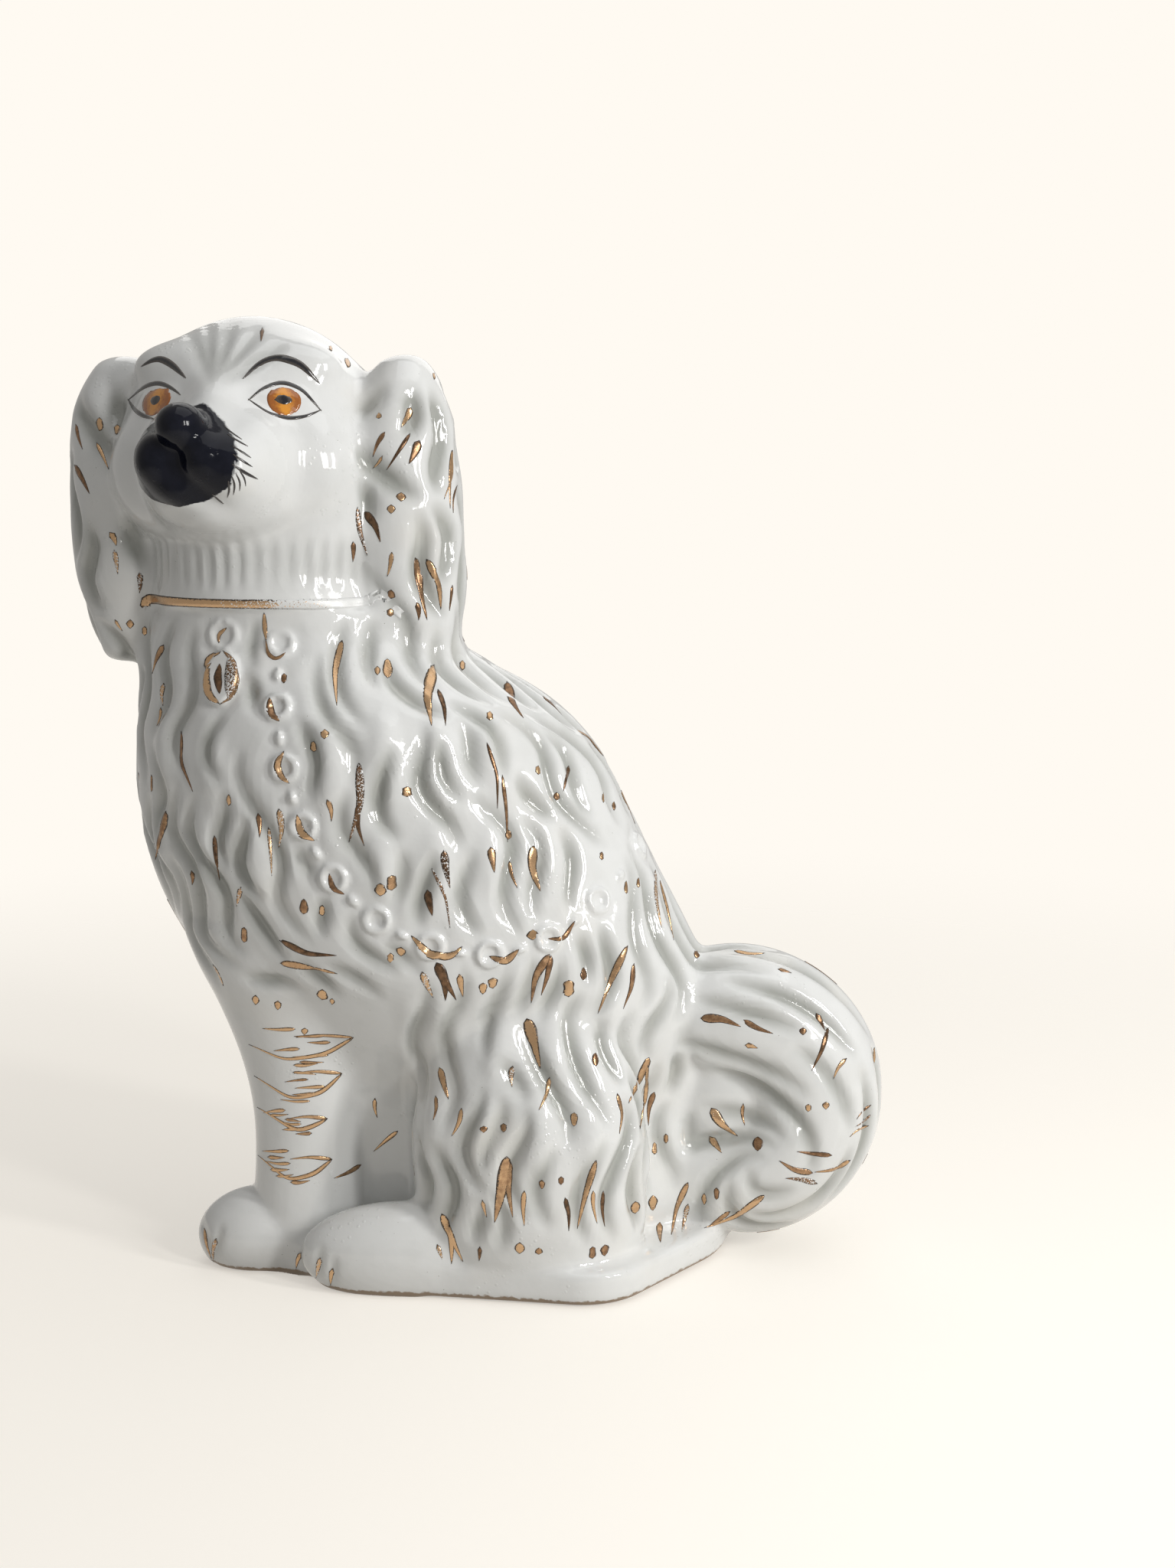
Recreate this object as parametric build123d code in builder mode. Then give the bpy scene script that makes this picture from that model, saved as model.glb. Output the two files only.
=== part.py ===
from build123d import *
from collections import namedtuple
from math import cos, radians, sin
import os

os.makedirs("parts", exist_ok=True)

# A seated spaniel mantel figure in press-moulded, glazed earthenware, mm.
# +Z is up and Z=0 is the surface it stands on. The chest points to -X, the tail to +X,
# and the show side, which the turned head faces, is -Y. The mould parts on Y=0.

# Clay
wall = 6.0                      # pressed wall of the hollow forms
slab_thickness = 12.0           # plinth that closes the underside
slab_edge = 2.0                 # softened bottom edge of the plinth
vent_diameter = 10.0            # firing vent through the plinth
vent_x = 24.0

# Neck, ruff and collar
neck_x = -69.0
neck_radius = 43.0
neck_height = 234.0             # top of the torso
torso_height = neck_height - slab_thickness
ruff_height = 24.0              # up to where the ruff runs out under the chin
ruff_relief = 1.5               # how far the ruff stands off the nape
flute_count = 54
flute_radius = 2.2
flute_depth = 0.9
collar_height = 3.6
collar_proud = 0.8
collar_seat = 1.6               # how deep the collar is let into the ruff

# Head, turned from the show side towards the chest
head_turn = 10.0                # degrees
head_x = -75.0
head_rise = 54.0                # from the torso's top to the head's middle
head_height = neck_height + head_rise
head_half_width = 45.0
head_half_depth = 45.0
head_half_height = 44.0
jowl_half = (42.0, 44.0, 24.0)
jowl_at = (0.0, -4.0, -17.0)    # in the head's own axes
nape_shift = 5.0                # how far the nape lies behind the neck's axis
nape_inset = 3.0                # how much shorter than the neck it is
nape_x = neck_x + nape_shift
nape_half_length = neck_radius - nape_inset
nape_half_height = 40.0
neck_passage = 22.0             # radius of the way from the body up into the head

# Ears, measured from the head's middle plane
left_ear_reach = 55.0
right_ear_reach = 52.0
left_ear_tuck = 0.0             # how far the tip is drawn in under the ear
right_ear_tuck = 9.0
ear_half_depth = 23.0
ear_half_width = 19.5
ear_rise = 32.0                 # from the head's middle up to the top of an ear
ear_length = 106.0
ear_top = head_height + ear_rise
ear_tip = ear_top - ear_length
ear_crown_radius = 7.0          # rounding at the top of an ear
ear_lean = 0.1                  # share of the reach by which the top leans in

# Muzzle lobes, in the head's own axes
muzzle_bridge = (14.0, 34.0, 13.0)
muzzle_bridge_at = (0.0, -38.0, 1.0)
lip_lobe = (12.5, 15.0, 13.0)
lip_lobe_at = (9.5, -57.0, -7.0)
chin_lobe = (10.0, 11.0, 8.0)
chin_lobe_at = (0.0, -54.0, -17.0)
nose_lobe = (10.5, 9.0, 9.5)
nose_lobe_at = (0.0, -65.0, 5.0)

# Eyes
eye_spread = 21.5               # from the head's middle plane
eye_rise = 14.5                 # above the head's middle
eye_half_width = 12.0
eye_half_height = 6.6
eye_proud = 1.5
iris_diameter = 10.2
pupil_diameter = 3.8
enamel = 0.5                    # fired colour over the glaze

# Forelegs and hind feet
leg_y = 21.0
leg_x = -60.0
leg_half_depth = 18.0
leg_half_width = 15.0
leg_top = slab_thickness + 0.505 * torso_height
right_leg_back = 18.0           # the far foreleg stands behind the near one
paw_half = (23.5, 17.0, 17.0)
paw_at = (-76.0, 21.0, 10.0)
foot_half = (36.0, 14.0, 18.0)
foot_at = (-24.0, 46.0, 12.0)

# Tail plume, a curl in the mould plane
tail_x = 91.0
tail_y = -4.0
tail_height = 57.0
tail_curl = 29.0                # radius of the curl's centre line
tail_radius = 25.5              # thickest half section of the plume
tail_heart = (25.0, 17.0, 26.0) # swirl that fills the curl

# Main locks of the coat, cast in relief on the body
lock_half = (4.8, 15.0, 3.2)    # half width, half length and half height of the egg that one is
lock_sink = 1.2                 # how far the egg's middle lies under the skin
lock_pitch = 18.0               # from one lock to the next in a row

# Chain relief, padlock and its ring
chain_count = 11
chain_ring = 3.8                # centre-line radius of a ring
chain_wire = 1.15
chain_bead = (2.4, 1.3, 1.5)    # edge-on link between two rings
padlock_x = -82.0
padlock_drop = 22.5             # below the collar
padlock_height = neck_height - padlock_drop
padlock_half_width = 6.3
padlock_half_height = 9.4
padlock_thickness = 2.2         # how far it stands off the chest
padlock_round = 0.7             # rounding of its rim
keyhole_radius = 1.5
keyhole_drop = 4.5
keyhole_depth = 1.0
padlock_ring = 4.6
padlock_wire = 1.1

# How a cylinder is set on its place
standing = (Align.CENTER, Align.CENTER, Align.MIN)
hanging = (Align.CENTER, Align.CENTER, Align.MAX)

# Girth of an ear up from its tip: share of its height, share of its full section
ear_girths = [(0.0, 0.7), (0.1, 0.85), (0.3, 1.0), (0.55, 1.0), (0.8, 0.92), (0.93, 0.75), (1.0, 0.5)]

# Girth of a foreleg up from the floor: share of its height, share of its section, shift along X
leg_girths = [(0.0, 1.0, 0.0), (0.3, 1.02, 0.0), (0.6, 1.2, -0.5), (0.85, 1.55, -6.0), (1.0, 1.5, -12.0)]

# Girth of the plume round its curl: angle in degrees, share of its thickest section
tail_girths = [(125, 0.8), (80, 0.97), (30, 1.0), (-20, 1.0), (-70, 0.95), (-115, 0.72), (-150, 0.4)]

# A level cross-section: how far up the torso it lies, an ellipse by its reach along X, its half width about y
Level = namedtuple("Level", "share front back half_width y", defaults=(0.0,))

torso_levels = [
    Level(share=0.0, front=-60.0, back=86.0, half_width=30.0),
    Level(share=0.153, front=-68.0, back=87.0, half_width=32.0),
    Level(share=0.315, front=-82.0, back=86.0, half_width=46.0),
    Level(share=0.432, front=-98.0, back=80.0, half_width=58.0),
    Level(share=0.568, front=-113.5, back=65.0, half_width=61.0),
    Level(share=0.712, front=-119.5, back=50.0, half_width=60.0),
    Level(share=0.847, front=-118.0, back=26.0, half_width=55.0),
    Level(share=1.0, front=neck_x - neck_radius, back=-14.0, half_width=neck_radius),
]
haunch_levels = [
    Level(share=0.0, front=-20.0, back=60.0, half_width=29.0, y=-36.0),
    Level(share=0.144, front=-21.0, back=61.0, half_width=29.0, y=-38.0),
    Level(share=0.275, front=-19.0, back=57.0, half_width=27.0, y=-36.0),
    Level(share=0.378, front=-10.0, back=44.0, half_width=19.0, y=-34.0),
    Level(share=0.428, front=5.0, back=25.0, half_width=8.0, y=-33.0),
]

# Rows of locks: share of the way up the torso, x of the first one, how many, lean in degrees
lock_rows = [
    (0.78, -104.0, 2, -6.0),
    (0.78, -44.0, 4, 16.0),
    (0.63, -106.0, 3, 12.0),
    (0.63, -28.0, 4, 6.0),
    (0.36, -8.0, 4, -6.0),
    (0.21, -12.0, 4, 8.0),
]

# The plinth's outline is drawn round these discs: x, y, radius
plinth_discs = [
    (leg_x, leg_y, 14.0),
    (-36.0, 40.0, 15.0),
    (38.0, 42.0, 25.0),
    (48.0, 0.0, 43.0),
]

# Chain line on the show side, side view: x, share of the way up the torso
chain_line = [
    (-62.5, 0.95),
    (-60.0, 0.772),
    (-43.0, 0.599),
    (-9.5, 0.5),
    (20.0, 0.498),
    (45.0, 0.561),
    (58.0, 0.617),
]


# Forms
def egg(half_sizes):
    """Egg with the given half sizes along its own axes."""
    with BuildPart() as ball:
        Sphere(1)
        scale(by=half_sizes)
    return ball.part


def torso_at(share):
    """Height of a place that lies this share of the way up the torso."""
    return slab_thickness + share * torso_height


def tower(levels, inset=0.0):
    """Loft through level ellipses, each drawn in by the inset."""
    with BuildPart() as form:
        for level in levels:
            middle = (level.front + level.back) / 2
            half_length = (level.back - level.front) / 2
            with BuildSketch(Plane.XY.offset(torso_at(level.share))):
                with Locations((middle, level.y)):
                    Ellipse(half_length - inset, level.half_width - inset)
        loft()
    return form.part


def mirrored(part):
    """The same form on the other side of the mould plane."""
    with BuildPart() as form:
        add(part)
        mirror(about=Plane.XZ, mode=Mode.REPLACE)
    return form.part


def surface_plane(form, x, height):
    """Plane on the show side of a form, with Z outwards and X level."""
    hits = form.find_intersection_points(Axis((x, -4 * neck_height, height), (0, 1, 0)))
    point, normal = min(hits, key=lambda hit: hit[0].Y)
    level = Vector(0, 0, 1).cross(normal)
    return Plane(origin=point, x_dir=level, z_dir=normal)


def head_spot(place):
    """Location of a point given in the head's own axes."""
    return head_plane.location * Location(place)


turn = radians(head_turn)
head_plane = Plane(origin=(head_x, 0, head_height), x_dir=(cos(turn), -sin(turn), 0), z_dir=(0, 0, 1))
head_half_sizes = (head_half_width, head_half_depth, head_half_height)
nape_half_sizes = (nape_half_length, neck_radius - ruff_relief, nape_half_height)
nape_spot = Location((nape_x, 0, neck_height + ruff_height))

# Whole outer forms, which the pieces are cut from
torso = tower(torso_levels)
left_haunch = tower(haunch_levels)
right_haunch = mirrored(left_haunch)
with BuildPart() as body_form:
    add(torso)
    add(left_haunch)
    add(right_haunch)

torso_hollow = tower(torso_levels, inset=wall)
left_haunch_hollow = tower(haunch_levels[:-1], inset=wall)
right_haunch_hollow = mirrored(left_haunch_hollow)
with BuildPart() as body_hollow:
    add(torso_hollow)
    add(left_haunch_hollow)
    add(right_haunch_hollow)


def head(inset):
    """Skull, jowls and nape as one form, drawn in by the inset."""
    placed = [
        (head_plane.location, head_half_sizes),
        (head_spot(jowl_at), jowl_half),
        (nape_spot, nape_half_sizes),
    ]
    eggs = [(spot, egg(tuple(half - inset for half in half_sizes))) for spot, half_sizes in placed]
    with BuildPart() as form:
        for spot, lobe in eggs:
            with Locations(spot):
                add(lobe)
    return form.part


head_form = head(0.0)
head_inside = head(wall)
with BuildPart() as head_hollow:
    add(head_inside)
    with Locations((neck_x, 0, head_height)):
        Cylinder(neck_passage, 2 * (head_height - neck_height), align=hanging)

# Plinth with its firing vent
with BuildPart() as base_slab:
    with BuildSketch():
        with BuildLine():
            for disc_x, disc_y, disc_radius in plinth_discs:
                for side in (-1, 1):
                    CenterArc((disc_x, side * disc_y), disc_radius, 0, 360)
        make_hull()
    extrude(amount=slab_thickness)
    chamfer(base_slab.faces().sort_by(Axis.Z)[0].outer_wire().edges(), slab_edge)
    with BuildSketch():
        with Locations((vent_x, 0)):
            Circle(vent_diameter / 2)
    extrude(amount=slab_thickness, mode=Mode.SUBTRACT)
base_slab.part.label = "base_slab"
export_step(base_slab.part, "parts/base_slab.step")

# Locks of the coat on both sides of the body
lock_egg = egg(lock_half)
with BuildPart() as left_locks:
    for share, first_x, count, lean in lock_rows:
        for index in range(count):
            seat = surface_plane(body_form.part, first_x + index * lock_pitch, torso_at(share))
            with Locations(seat.rotated((0, 0, lean)).offset(-lock_sink).location):
                add(lock_egg)
right_locks = mirrored(left_locks.part)

# Torso and haunches, two half shells that meet on the mould plane
with BuildPart() as left_body_shell:
    add(body_form.part)
    add(left_locks.part)
    add(body_hollow.part, mode=Mode.SUBTRACT)
    split(bisect_by=Plane.XZ, keep=Keep.TOP)
left_body_shell.part.label = "left_body_shell"
export_step(left_body_shell.part, "parts/left_body_shell.step")

with BuildPart() as right_body_shell:
    add(body_form.part)
    add(right_locks)
    add(body_hollow.part, mode=Mode.SUBTRACT)
    split(bisect_by=Plane.XZ, keep=Keep.BOTTOM)
right_body_shell.part.label = "right_body_shell"
export_step(right_body_shell.part, "parts/right_body_shell.step")

# Head, a face half and a back half
head_parting = Plane(origin=head_plane.origin, x_dir=head_plane.x_dir, z_dir=-head_plane.y_dir)
with BuildPart() as face_shell:
    add(head_form)
    add(head_hollow.part, mode=Mode.SUBTRACT)
    split(bisect_by=head_parting, keep=Keep.TOP)
face_shell.part.label = "face_shell"
export_step(face_shell.part, "parts/face_shell.step")

with BuildPart() as head_back_shell:
    add(head_form)
    add(head_hollow.part, mode=Mode.SUBTRACT)
    split(bisect_by=head_parting, keep=Keep.BOTTOM)
head_back_shell.part.label = "head_back_shell"
export_step(head_back_shell.part, "parts/head_back_shell.step")

# Fluted ruff round the neck, with a seat for the collar
collar_inner = neck_radius - collar_seat
with BuildPart() as ruff_form:
    with Locations((neck_x, 0, neck_height)):
        Cylinder(neck_radius, ruff_height, align=standing)

with BuildPart() as collar:
    with BuildSketch(Plane.XY.offset(neck_height)):
        with Locations((neck_x, 0)):
            Circle(neck_radius + collar_proud)
            Circle(collar_inner, mode=Mode.SUBTRACT)
    extrude(amount=collar_height)
collar.part.label = "collar"
export_step(collar.part, "parts/collar.step")

with BuildPart() as neck_ruff:
    add(ruff_form.part)
    with Locations((neck_x, 0, neck_height + 2 * collar_height)):
        with PolarLocations(neck_radius + flute_radius - flute_depth, flute_count):
            Cylinder(flute_radius, ruff_height, align=standing, mode=Mode.SUBTRACT)
    with Locations((neck_x, 0, neck_height)):
        Cylinder(neck_radius - wall, ruff_height, align=standing, mode=Mode.SUBTRACT)
    add(head_form, mode=Mode.SUBTRACT)
    add(collar.part, mode=Mode.SUBTRACT)
neck_ruff.part.label = "neck_ruff"
export_step(neck_ruff.part, "parts/neck_ruff.step")


# Ears, long pads that hang from the crown to the shoulders
def ear(name, reach, tuck):
    """One ear, its inner side cut to the head, the ruff and the shoulder that it lies on."""
    drop = ear_top - ear_tip
    with BuildPart() as pad:
        for share, girth in ear_girths:
            middle = reach * (1 - ear_lean * share) + tuck * (1 - share) ** 2
            with BuildSketch(Plane(head_spot((0, 0, ear_tip + drop * share - head_height)))):
                with Locations((middle, 0)):
                    Ellipse(ear_half_width * girth, ear_half_depth * girth)
        loft()
        fillet(pad.faces().sort_by(Axis.Z)[-1].edges(), ear_crown_radius)
        add(head_form, mode=Mode.SUBTRACT)
        add(ruff_form.part, mode=Mode.SUBTRACT)
        add(collar.part, mode=Mode.SUBTRACT)
        add(body_form.part, mode=Mode.SUBTRACT)
    pad.part.label = name
    export_step(pad.part, f"parts/{name}.step")


ear("left_ear", left_ear_reach, -left_ear_tuck)
ear("right_ear", -right_ear_reach, right_ear_tuck)

# Muzzle and nose, applied to the face
bridge_egg = egg(muzzle_bridge)
lip_egg = egg(lip_lobe)
chin_egg = egg(chin_lobe)
nose_egg = egg(nose_lobe)
with BuildPart() as muzzle_form:
    with Locations(head_spot(muzzle_bridge_at)):
        add(bridge_egg)
    for side in (-1, 1):
        with Locations(head_spot((side * lip_lobe_at[0], lip_lobe_at[1], lip_lobe_at[2]))):
            add(lip_egg)
    with Locations(head_spot(chin_lobe_at)):
        add(chin_egg)

with BuildPart() as muzzle:
    add(muzzle_form.part)
    add(head_form, mode=Mode.SUBTRACT)
muzzle.part.label = "muzzle"
export_step(muzzle.part, "parts/muzzle.step")

with BuildPart() as nose:
    with Locations(head_spot(nose_lobe_at)):
        add(nose_egg)
    add(muzzle_form.part, mode=Mode.SUBTRACT)
nose.part.label = "nose"
export_step(nose.part, "parts/nose.step")


# Eyes: a low almond pad, then iris and pupil as fired enamel on it
def eye_plane(side):
    """Plane on the head where an eye sits, Z outwards."""
    start = head_spot((side * eye_spread, -2 * head_half_depth, eye_rise)).position
    hits = head_form.find_intersection_points(Axis(start, head_plane.y_dir))
    point, normal = min(hits, key=lambda hit: (hit[0] - start).length)
    return Plane(origin=point, x_dir=Vector(0, 0, 1).cross(normal), z_dir=normal)


def eye_dome(place, lift):
    """The eye's dome over its place, raised by the lift."""
    dome_egg = egg((eye_half_width + lift, eye_half_height + lift, 2 * eye_proud + lift))
    with BuildPart() as dome:
        with Locations(place.offset(-eye_proud).location):
            add(dome_egg)
    return dome.part


def eye(side_name, side):
    """The pad, iris and pupil of one eye."""
    place = eye_plane(side)
    under = eye_dome(place, 0.0)
    with BuildPart() as pad:
        add(under)
        add(head_form, mode=Mode.SUBTRACT)
        add(muzzle_form.part, mode=Mode.SUBTRACT)
    pad.part.label = f"{side_name}_eye"
    export_step(pad.part, f"parts/{side_name}_eye.step")
    for layer, name, diameter in ((1, "iris", iris_diameter), (2, "pupil", pupil_diameter)):
        cover = eye_dome(place, layer * enamel)
        with BuildPart() as paint:
            with Locations(place.location):
                Cylinder(diameter / 2, 4 * eye_half_height)
            add(cover, mode=Mode.INTERSECT)
            add(under, mode=Mode.SUBTRACT)
            add(head_form, mode=Mode.SUBTRACT)
        paint.part.label = f"{side_name}_{name}"
        export_step(paint.part, f"parts/{side_name}_{name}.step")
        under = cover


eye("left", 1)
eye("right", -1)


# Forelegs with their paws
paw_egg = egg(paw_half)


def foreleg(name, side, back):
    """One foreleg and paw, cut to the body and the plinth."""
    with BuildPart() as leg:
        for share, girth, shift in leg_girths:
            with BuildSketch(Plane.XY.offset(share * leg_top)):
                with Locations((leg_x + back + shift, side * leg_y)):
                    Ellipse(leg_half_depth * girth, leg_half_width * girth)
        loft()
        with Locations((paw_at[0] + back, side * paw_at[1], paw_at[2])):
            add(paw_egg)
        split(bisect_by=Plane.XY, keep=Keep.TOP)
        split(bisect_by=Plane.XZ, keep=Keep.TOP if side < 0 else Keep.BOTTOM)
        add(body_form.part, mode=Mode.SUBTRACT)
        add(base_slab.part, mode=Mode.SUBTRACT)
    leg.part.label = name
    export_step(leg.part, f"parts/{name}.step")
    return leg.part


left_foreleg = foreleg("left_foreleg", -1, 0.0)
right_foreleg = foreleg("right_foreleg", 1, right_leg_back)

# Hind feet, lying along the plinth in front of the haunches
foot_egg = egg(foot_half)


def hind_foot(name, side, leg):
    """One hind foot, cut to the body, the plinth and the foreleg beside it."""
    with BuildPart() as foot:
        with Locations((foot_at[0], side * foot_at[1], foot_at[2])):
            add(foot_egg)
        split(bisect_by=Plane.XY, keep=Keep.TOP)
        add(body_form.part, mode=Mode.SUBTRACT)
        add(base_slab.part, mode=Mode.SUBTRACT)
        add(leg, mode=Mode.SUBTRACT)
    foot.part.label = name
    export_step(foot.part, f"parts/{name}.step")


hind_foot("left_hind_foot", -1, left_foreleg)
hind_foot("right_hind_foot", 1, right_foreleg)

# Tail plume: a hollow curl that leaves the back, swings out and comes in low
def plume(inset, girths):
    """Loft through circles along the curl, each drawn in by the inset."""
    with BuildPart() as form:
        for angle, girth in girths:
            out = Vector(cos(radians(angle)), 0, sin(radians(angle)))
            along = Vector(out.Z, 0, -out.X)
            centre = Vector(tail_x, tail_y, tail_height) + out * tail_curl
            with BuildSketch(Plane(origin=centre, x_dir=out, z_dir=along)):
                Circle(tail_radius * girth - inset)
        loft()
    return form.part


tail_outside = plume(0.0, tail_girths)
tail_hollow = plume(wall, tail_girths[:-1])
heart_egg = egg(tail_heart)
with BuildPart() as tail:
    add(tail_outside)
    with Locations((tail_x, tail_y, tail_height)):
        add(heart_egg)
    add(tail_hollow, mode=Mode.SUBTRACT)
    split(bisect_by=Plane.XY, keep=Keep.TOP)
    add(body_form.part, mode=Mode.SUBTRACT)
    add(base_slab.part, mode=Mode.SUBTRACT)
tail.part.label = "tail"
export_step(tail.part, "parts/tail.step")

# Chain relief: rings with edge-on links between them
with BuildLine(Plane.XZ) as chain_route:
    Spline(*[(x, torso_at(share)) for x, share in chain_line])
route = chain_route.line.edge()
bead_egg = egg(chain_bead)
with BuildPart() as chain_links:
    for index in range(chain_count):
        ring_at = route.position_at(index / (chain_count - 1))
        with Locations(surface_plane(body_form.part, ring_at.X, ring_at.Z).location):
            Torus(chain_ring, chain_wire)
    for index in range(chain_count - 1):
        share = (index + 0.5) / (chain_count - 1)
        bead_at = route.position_at(share)
        heading = route.tangent_at(share)
        seat = surface_plane(body_form.part, bead_at.X, bead_at.Z)
        along = heading - seat.z_dir * heading.dot(seat.z_dir)
        with Locations(Plane(origin=seat.origin, x_dir=along, z_dir=seat.z_dir).location):
            add(bead_egg)
    add(body_form.part, mode=Mode.SUBTRACT)
chain_links.part.label = "chain_links"
export_step(chain_links.part, "parts/chain_links.step")

# Padlock on the chest and the ring that it hangs from
lock_plane = surface_plane(body_form.part, padlock_x, padlock_height)
with BuildPart() as padlock_body:
    with BuildSketch(lock_plane.offset(-padlock_thickness)):
        Ellipse(padlock_half_width, padlock_half_height)
    extrude(amount=2 * padlock_thickness)
    front_face = padlock_body.faces().sort_by(Axis(lock_plane.origin, lock_plane.z_dir))[-1]
    fillet(front_face.edges(), padlock_round)
    with BuildSketch(lock_plane.offset(padlock_thickness)):
        Circle(keyhole_radius)
        with Locations((0, -keyhole_drop / 2)):
            Rectangle(keyhole_radius, keyhole_drop)
    extrude(amount=-keyhole_depth, mode=Mode.SUBTRACT)
    add(body_form.part, mode=Mode.SUBTRACT)
padlock_body.part.label = "padlock_body"
export_step(padlock_body.part, "parts/padlock_body.step")

with BuildPart() as padlock_ring_part:
    ring_height = padlock_height + padlock_half_height + padlock_ring
    with Locations(surface_plane(body_form.part, padlock_x, ring_height).location):
        Torus(padlock_ring, padlock_wire)
    add(body_form.part, mode=Mode.SUBTRACT)
    add(padlock_body.part, mode=Mode.SUBTRACT)
padlock_ring_part.part.label = "padlock_ring"
export_step(padlock_ring_part.part, "parts/padlock_ring.step")
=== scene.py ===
import math

import bpy
import numpy as np
import openvdb
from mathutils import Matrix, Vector
from mathutils.bvhtree import BVHTree
from mathutils.kdtree import KDTree


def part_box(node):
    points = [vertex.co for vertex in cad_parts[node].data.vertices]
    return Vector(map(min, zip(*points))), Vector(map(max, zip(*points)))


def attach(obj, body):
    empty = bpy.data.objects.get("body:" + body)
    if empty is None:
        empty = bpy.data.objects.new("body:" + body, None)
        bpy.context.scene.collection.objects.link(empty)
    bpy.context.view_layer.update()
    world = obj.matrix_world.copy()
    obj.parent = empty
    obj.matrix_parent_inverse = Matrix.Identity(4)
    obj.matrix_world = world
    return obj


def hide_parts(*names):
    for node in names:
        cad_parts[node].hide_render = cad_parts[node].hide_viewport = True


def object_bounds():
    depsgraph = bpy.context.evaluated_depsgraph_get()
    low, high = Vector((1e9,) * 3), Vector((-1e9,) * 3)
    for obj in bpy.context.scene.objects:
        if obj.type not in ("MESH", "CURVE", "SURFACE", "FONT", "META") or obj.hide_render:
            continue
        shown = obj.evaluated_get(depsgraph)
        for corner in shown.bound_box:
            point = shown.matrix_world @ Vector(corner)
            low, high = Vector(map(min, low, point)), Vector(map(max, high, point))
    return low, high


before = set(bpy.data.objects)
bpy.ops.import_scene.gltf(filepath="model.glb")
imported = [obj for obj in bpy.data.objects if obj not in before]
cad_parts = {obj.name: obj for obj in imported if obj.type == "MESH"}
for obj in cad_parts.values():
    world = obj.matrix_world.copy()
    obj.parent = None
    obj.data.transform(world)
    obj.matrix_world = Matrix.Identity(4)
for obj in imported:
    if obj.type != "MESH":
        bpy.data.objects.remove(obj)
cad_low, cad_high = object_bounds()

# The dog is modelled in millimetres, and each piece is scaled to metres when its mesh is made.
MM = 0.001
RANDOM = np.random.default_rng(1851)
UP = np.array((0.0, 0.0, 1.0))

# Clay skin
VOXEL = 1.0
BAND = 12.0                     # how far from a surface distances are kept
MARGIN = 8.0                    # empty space round the dog in the grid
SKIN = 2.5                      # thickness that a piece of skin is given
WALL_DEPTH = 2.0                # deeper than about this below the surface everything is solid
ON_PLANE = 0.01                 # distance within which a corner lies on a parting plane
LEAK = 1.5                      # gaps narrower than twice this count as closed
SKIN_SOFTENING = 3              # rounds of softening once the clay is joined

# Photograph's frame
IMAGE_WIDTH = 1535
IMAGE_HEIGHT = 2048
FOCAL_PIXELS = 2815.0
HORIZON_ROW = 578.0
CAMERA_PLACE = Vector((0.0397, -0.758, 0.289))
SENSOR_HEIGHT = 24.0
PITCH = math.atan((IMAGE_HEIGHT / 2 - HORIZON_ROW) / FOCAL_PIXELS)


# Places read from the frame
def node_box(name):
    """Lowest and highest corner of a CAD node, mm."""
    low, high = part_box(name)
    return np.array(low) / MM, np.array(high) / MM


def node_middle(name):
    """Middle of a CAD node's box, mm."""
    low, high = node_box(name)
    return (low + high) / 2


def node_soup(*names):
    """Corners in mm and triangles of some CAD nodes."""
    corners = []
    triangles = []
    count = 0
    for name in names:
        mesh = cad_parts[name].data
        mesh.calc_loop_triangles()
        flat = np.empty(len(mesh.vertices) * 3, np.float32)
        mesh.vertices.foreach_get("co", flat)
        index = np.empty(len(mesh.loop_triangles) * 3, np.int32)
        mesh.loop_triangles.foreach_get("vertices", index)
        corners.append(flat.reshape(-1, 3) / MM)
        triangles.append(index.reshape(-1, 3) + count)
        count += len(mesh.vertices)
    return np.concatenate(corners), np.concatenate(triangles)


# The head's own axes: side to the dog's left, facing out of the face
EYE_RISE = 14.5                 # of the eyes above the head's middle
between_eyes = (node_middle("left_iris") + node_middle("right_iris")) / 2
head_side = node_middle("left_iris") - node_middle("right_iris")
head_side[2] = 0.0
head_side /= np.linalg.norm(head_side)
head_facing = np.cross(head_side, UP)
parting_depth = (node_soup("face_shell")[0] @ head_facing).min()
head_middle = between_eyes - head_facing * (between_eyes @ head_facing - parting_depth) - UP * EYE_RISE


def head_axes(points):
    """Points in the head's own axes: side, facing, up."""
    away = points - head_middle
    return away @ head_side, away @ head_facing, away[..., 2]


def head_point(side, facing, up):
    """A point given in the head's own axes."""
    return head_middle + head_side * side + head_facing * facing + UP * up


neck_top = node_box("collar")[0][2]
neck_axis = node_middle("collar")

# Distances on a grid
grid_low = np.floor(np.array(cad_low) / MM - MARGIN)
grid_high = np.ceil(np.array(cad_high) / MM + MARGIN)
grid_shape = tuple(((grid_high - grid_low) / VOXEL).astype(int))
grid_corner = tuple(int(value) for value in grid_low / VOXEL)
grid_scale = openvdb.createLinearTransform(VOXEL)
grid_x = (grid_low[0] + np.arange(grid_shape[0]) * VOXEL).astype(np.float32)[:, None, None]
grid_y = (grid_low[1] + np.arange(grid_shape[1]) * VOXEL).astype(np.float32)[None, :, None]
grid_z = (grid_low[2] + np.arange(grid_shape[2]) * VOXEL).astype(np.float32)[None, None, :]


def solid_field(names, parting=None):
    """Signed distance to some nodes, without the faces that lie on their parting plane."""
    corners, triangles = node_soup(*names)
    if parting is not None:
        point, normal = parting
        flat = np.abs((corners - point) @ normal) < ON_PLANE
        triangles = triangles[~flat[triangles].all(axis=1)]
    level = openvdb.FloatGrid.createLevelSetFromPolygons(
        corners, triangles=triangles, transform=grid_scale, halfWidth=BAND / VOXEL)
    field = np.empty(grid_shape, np.float32)
    level.copyToArray(field, ijk=grid_corner)
    return field


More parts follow.
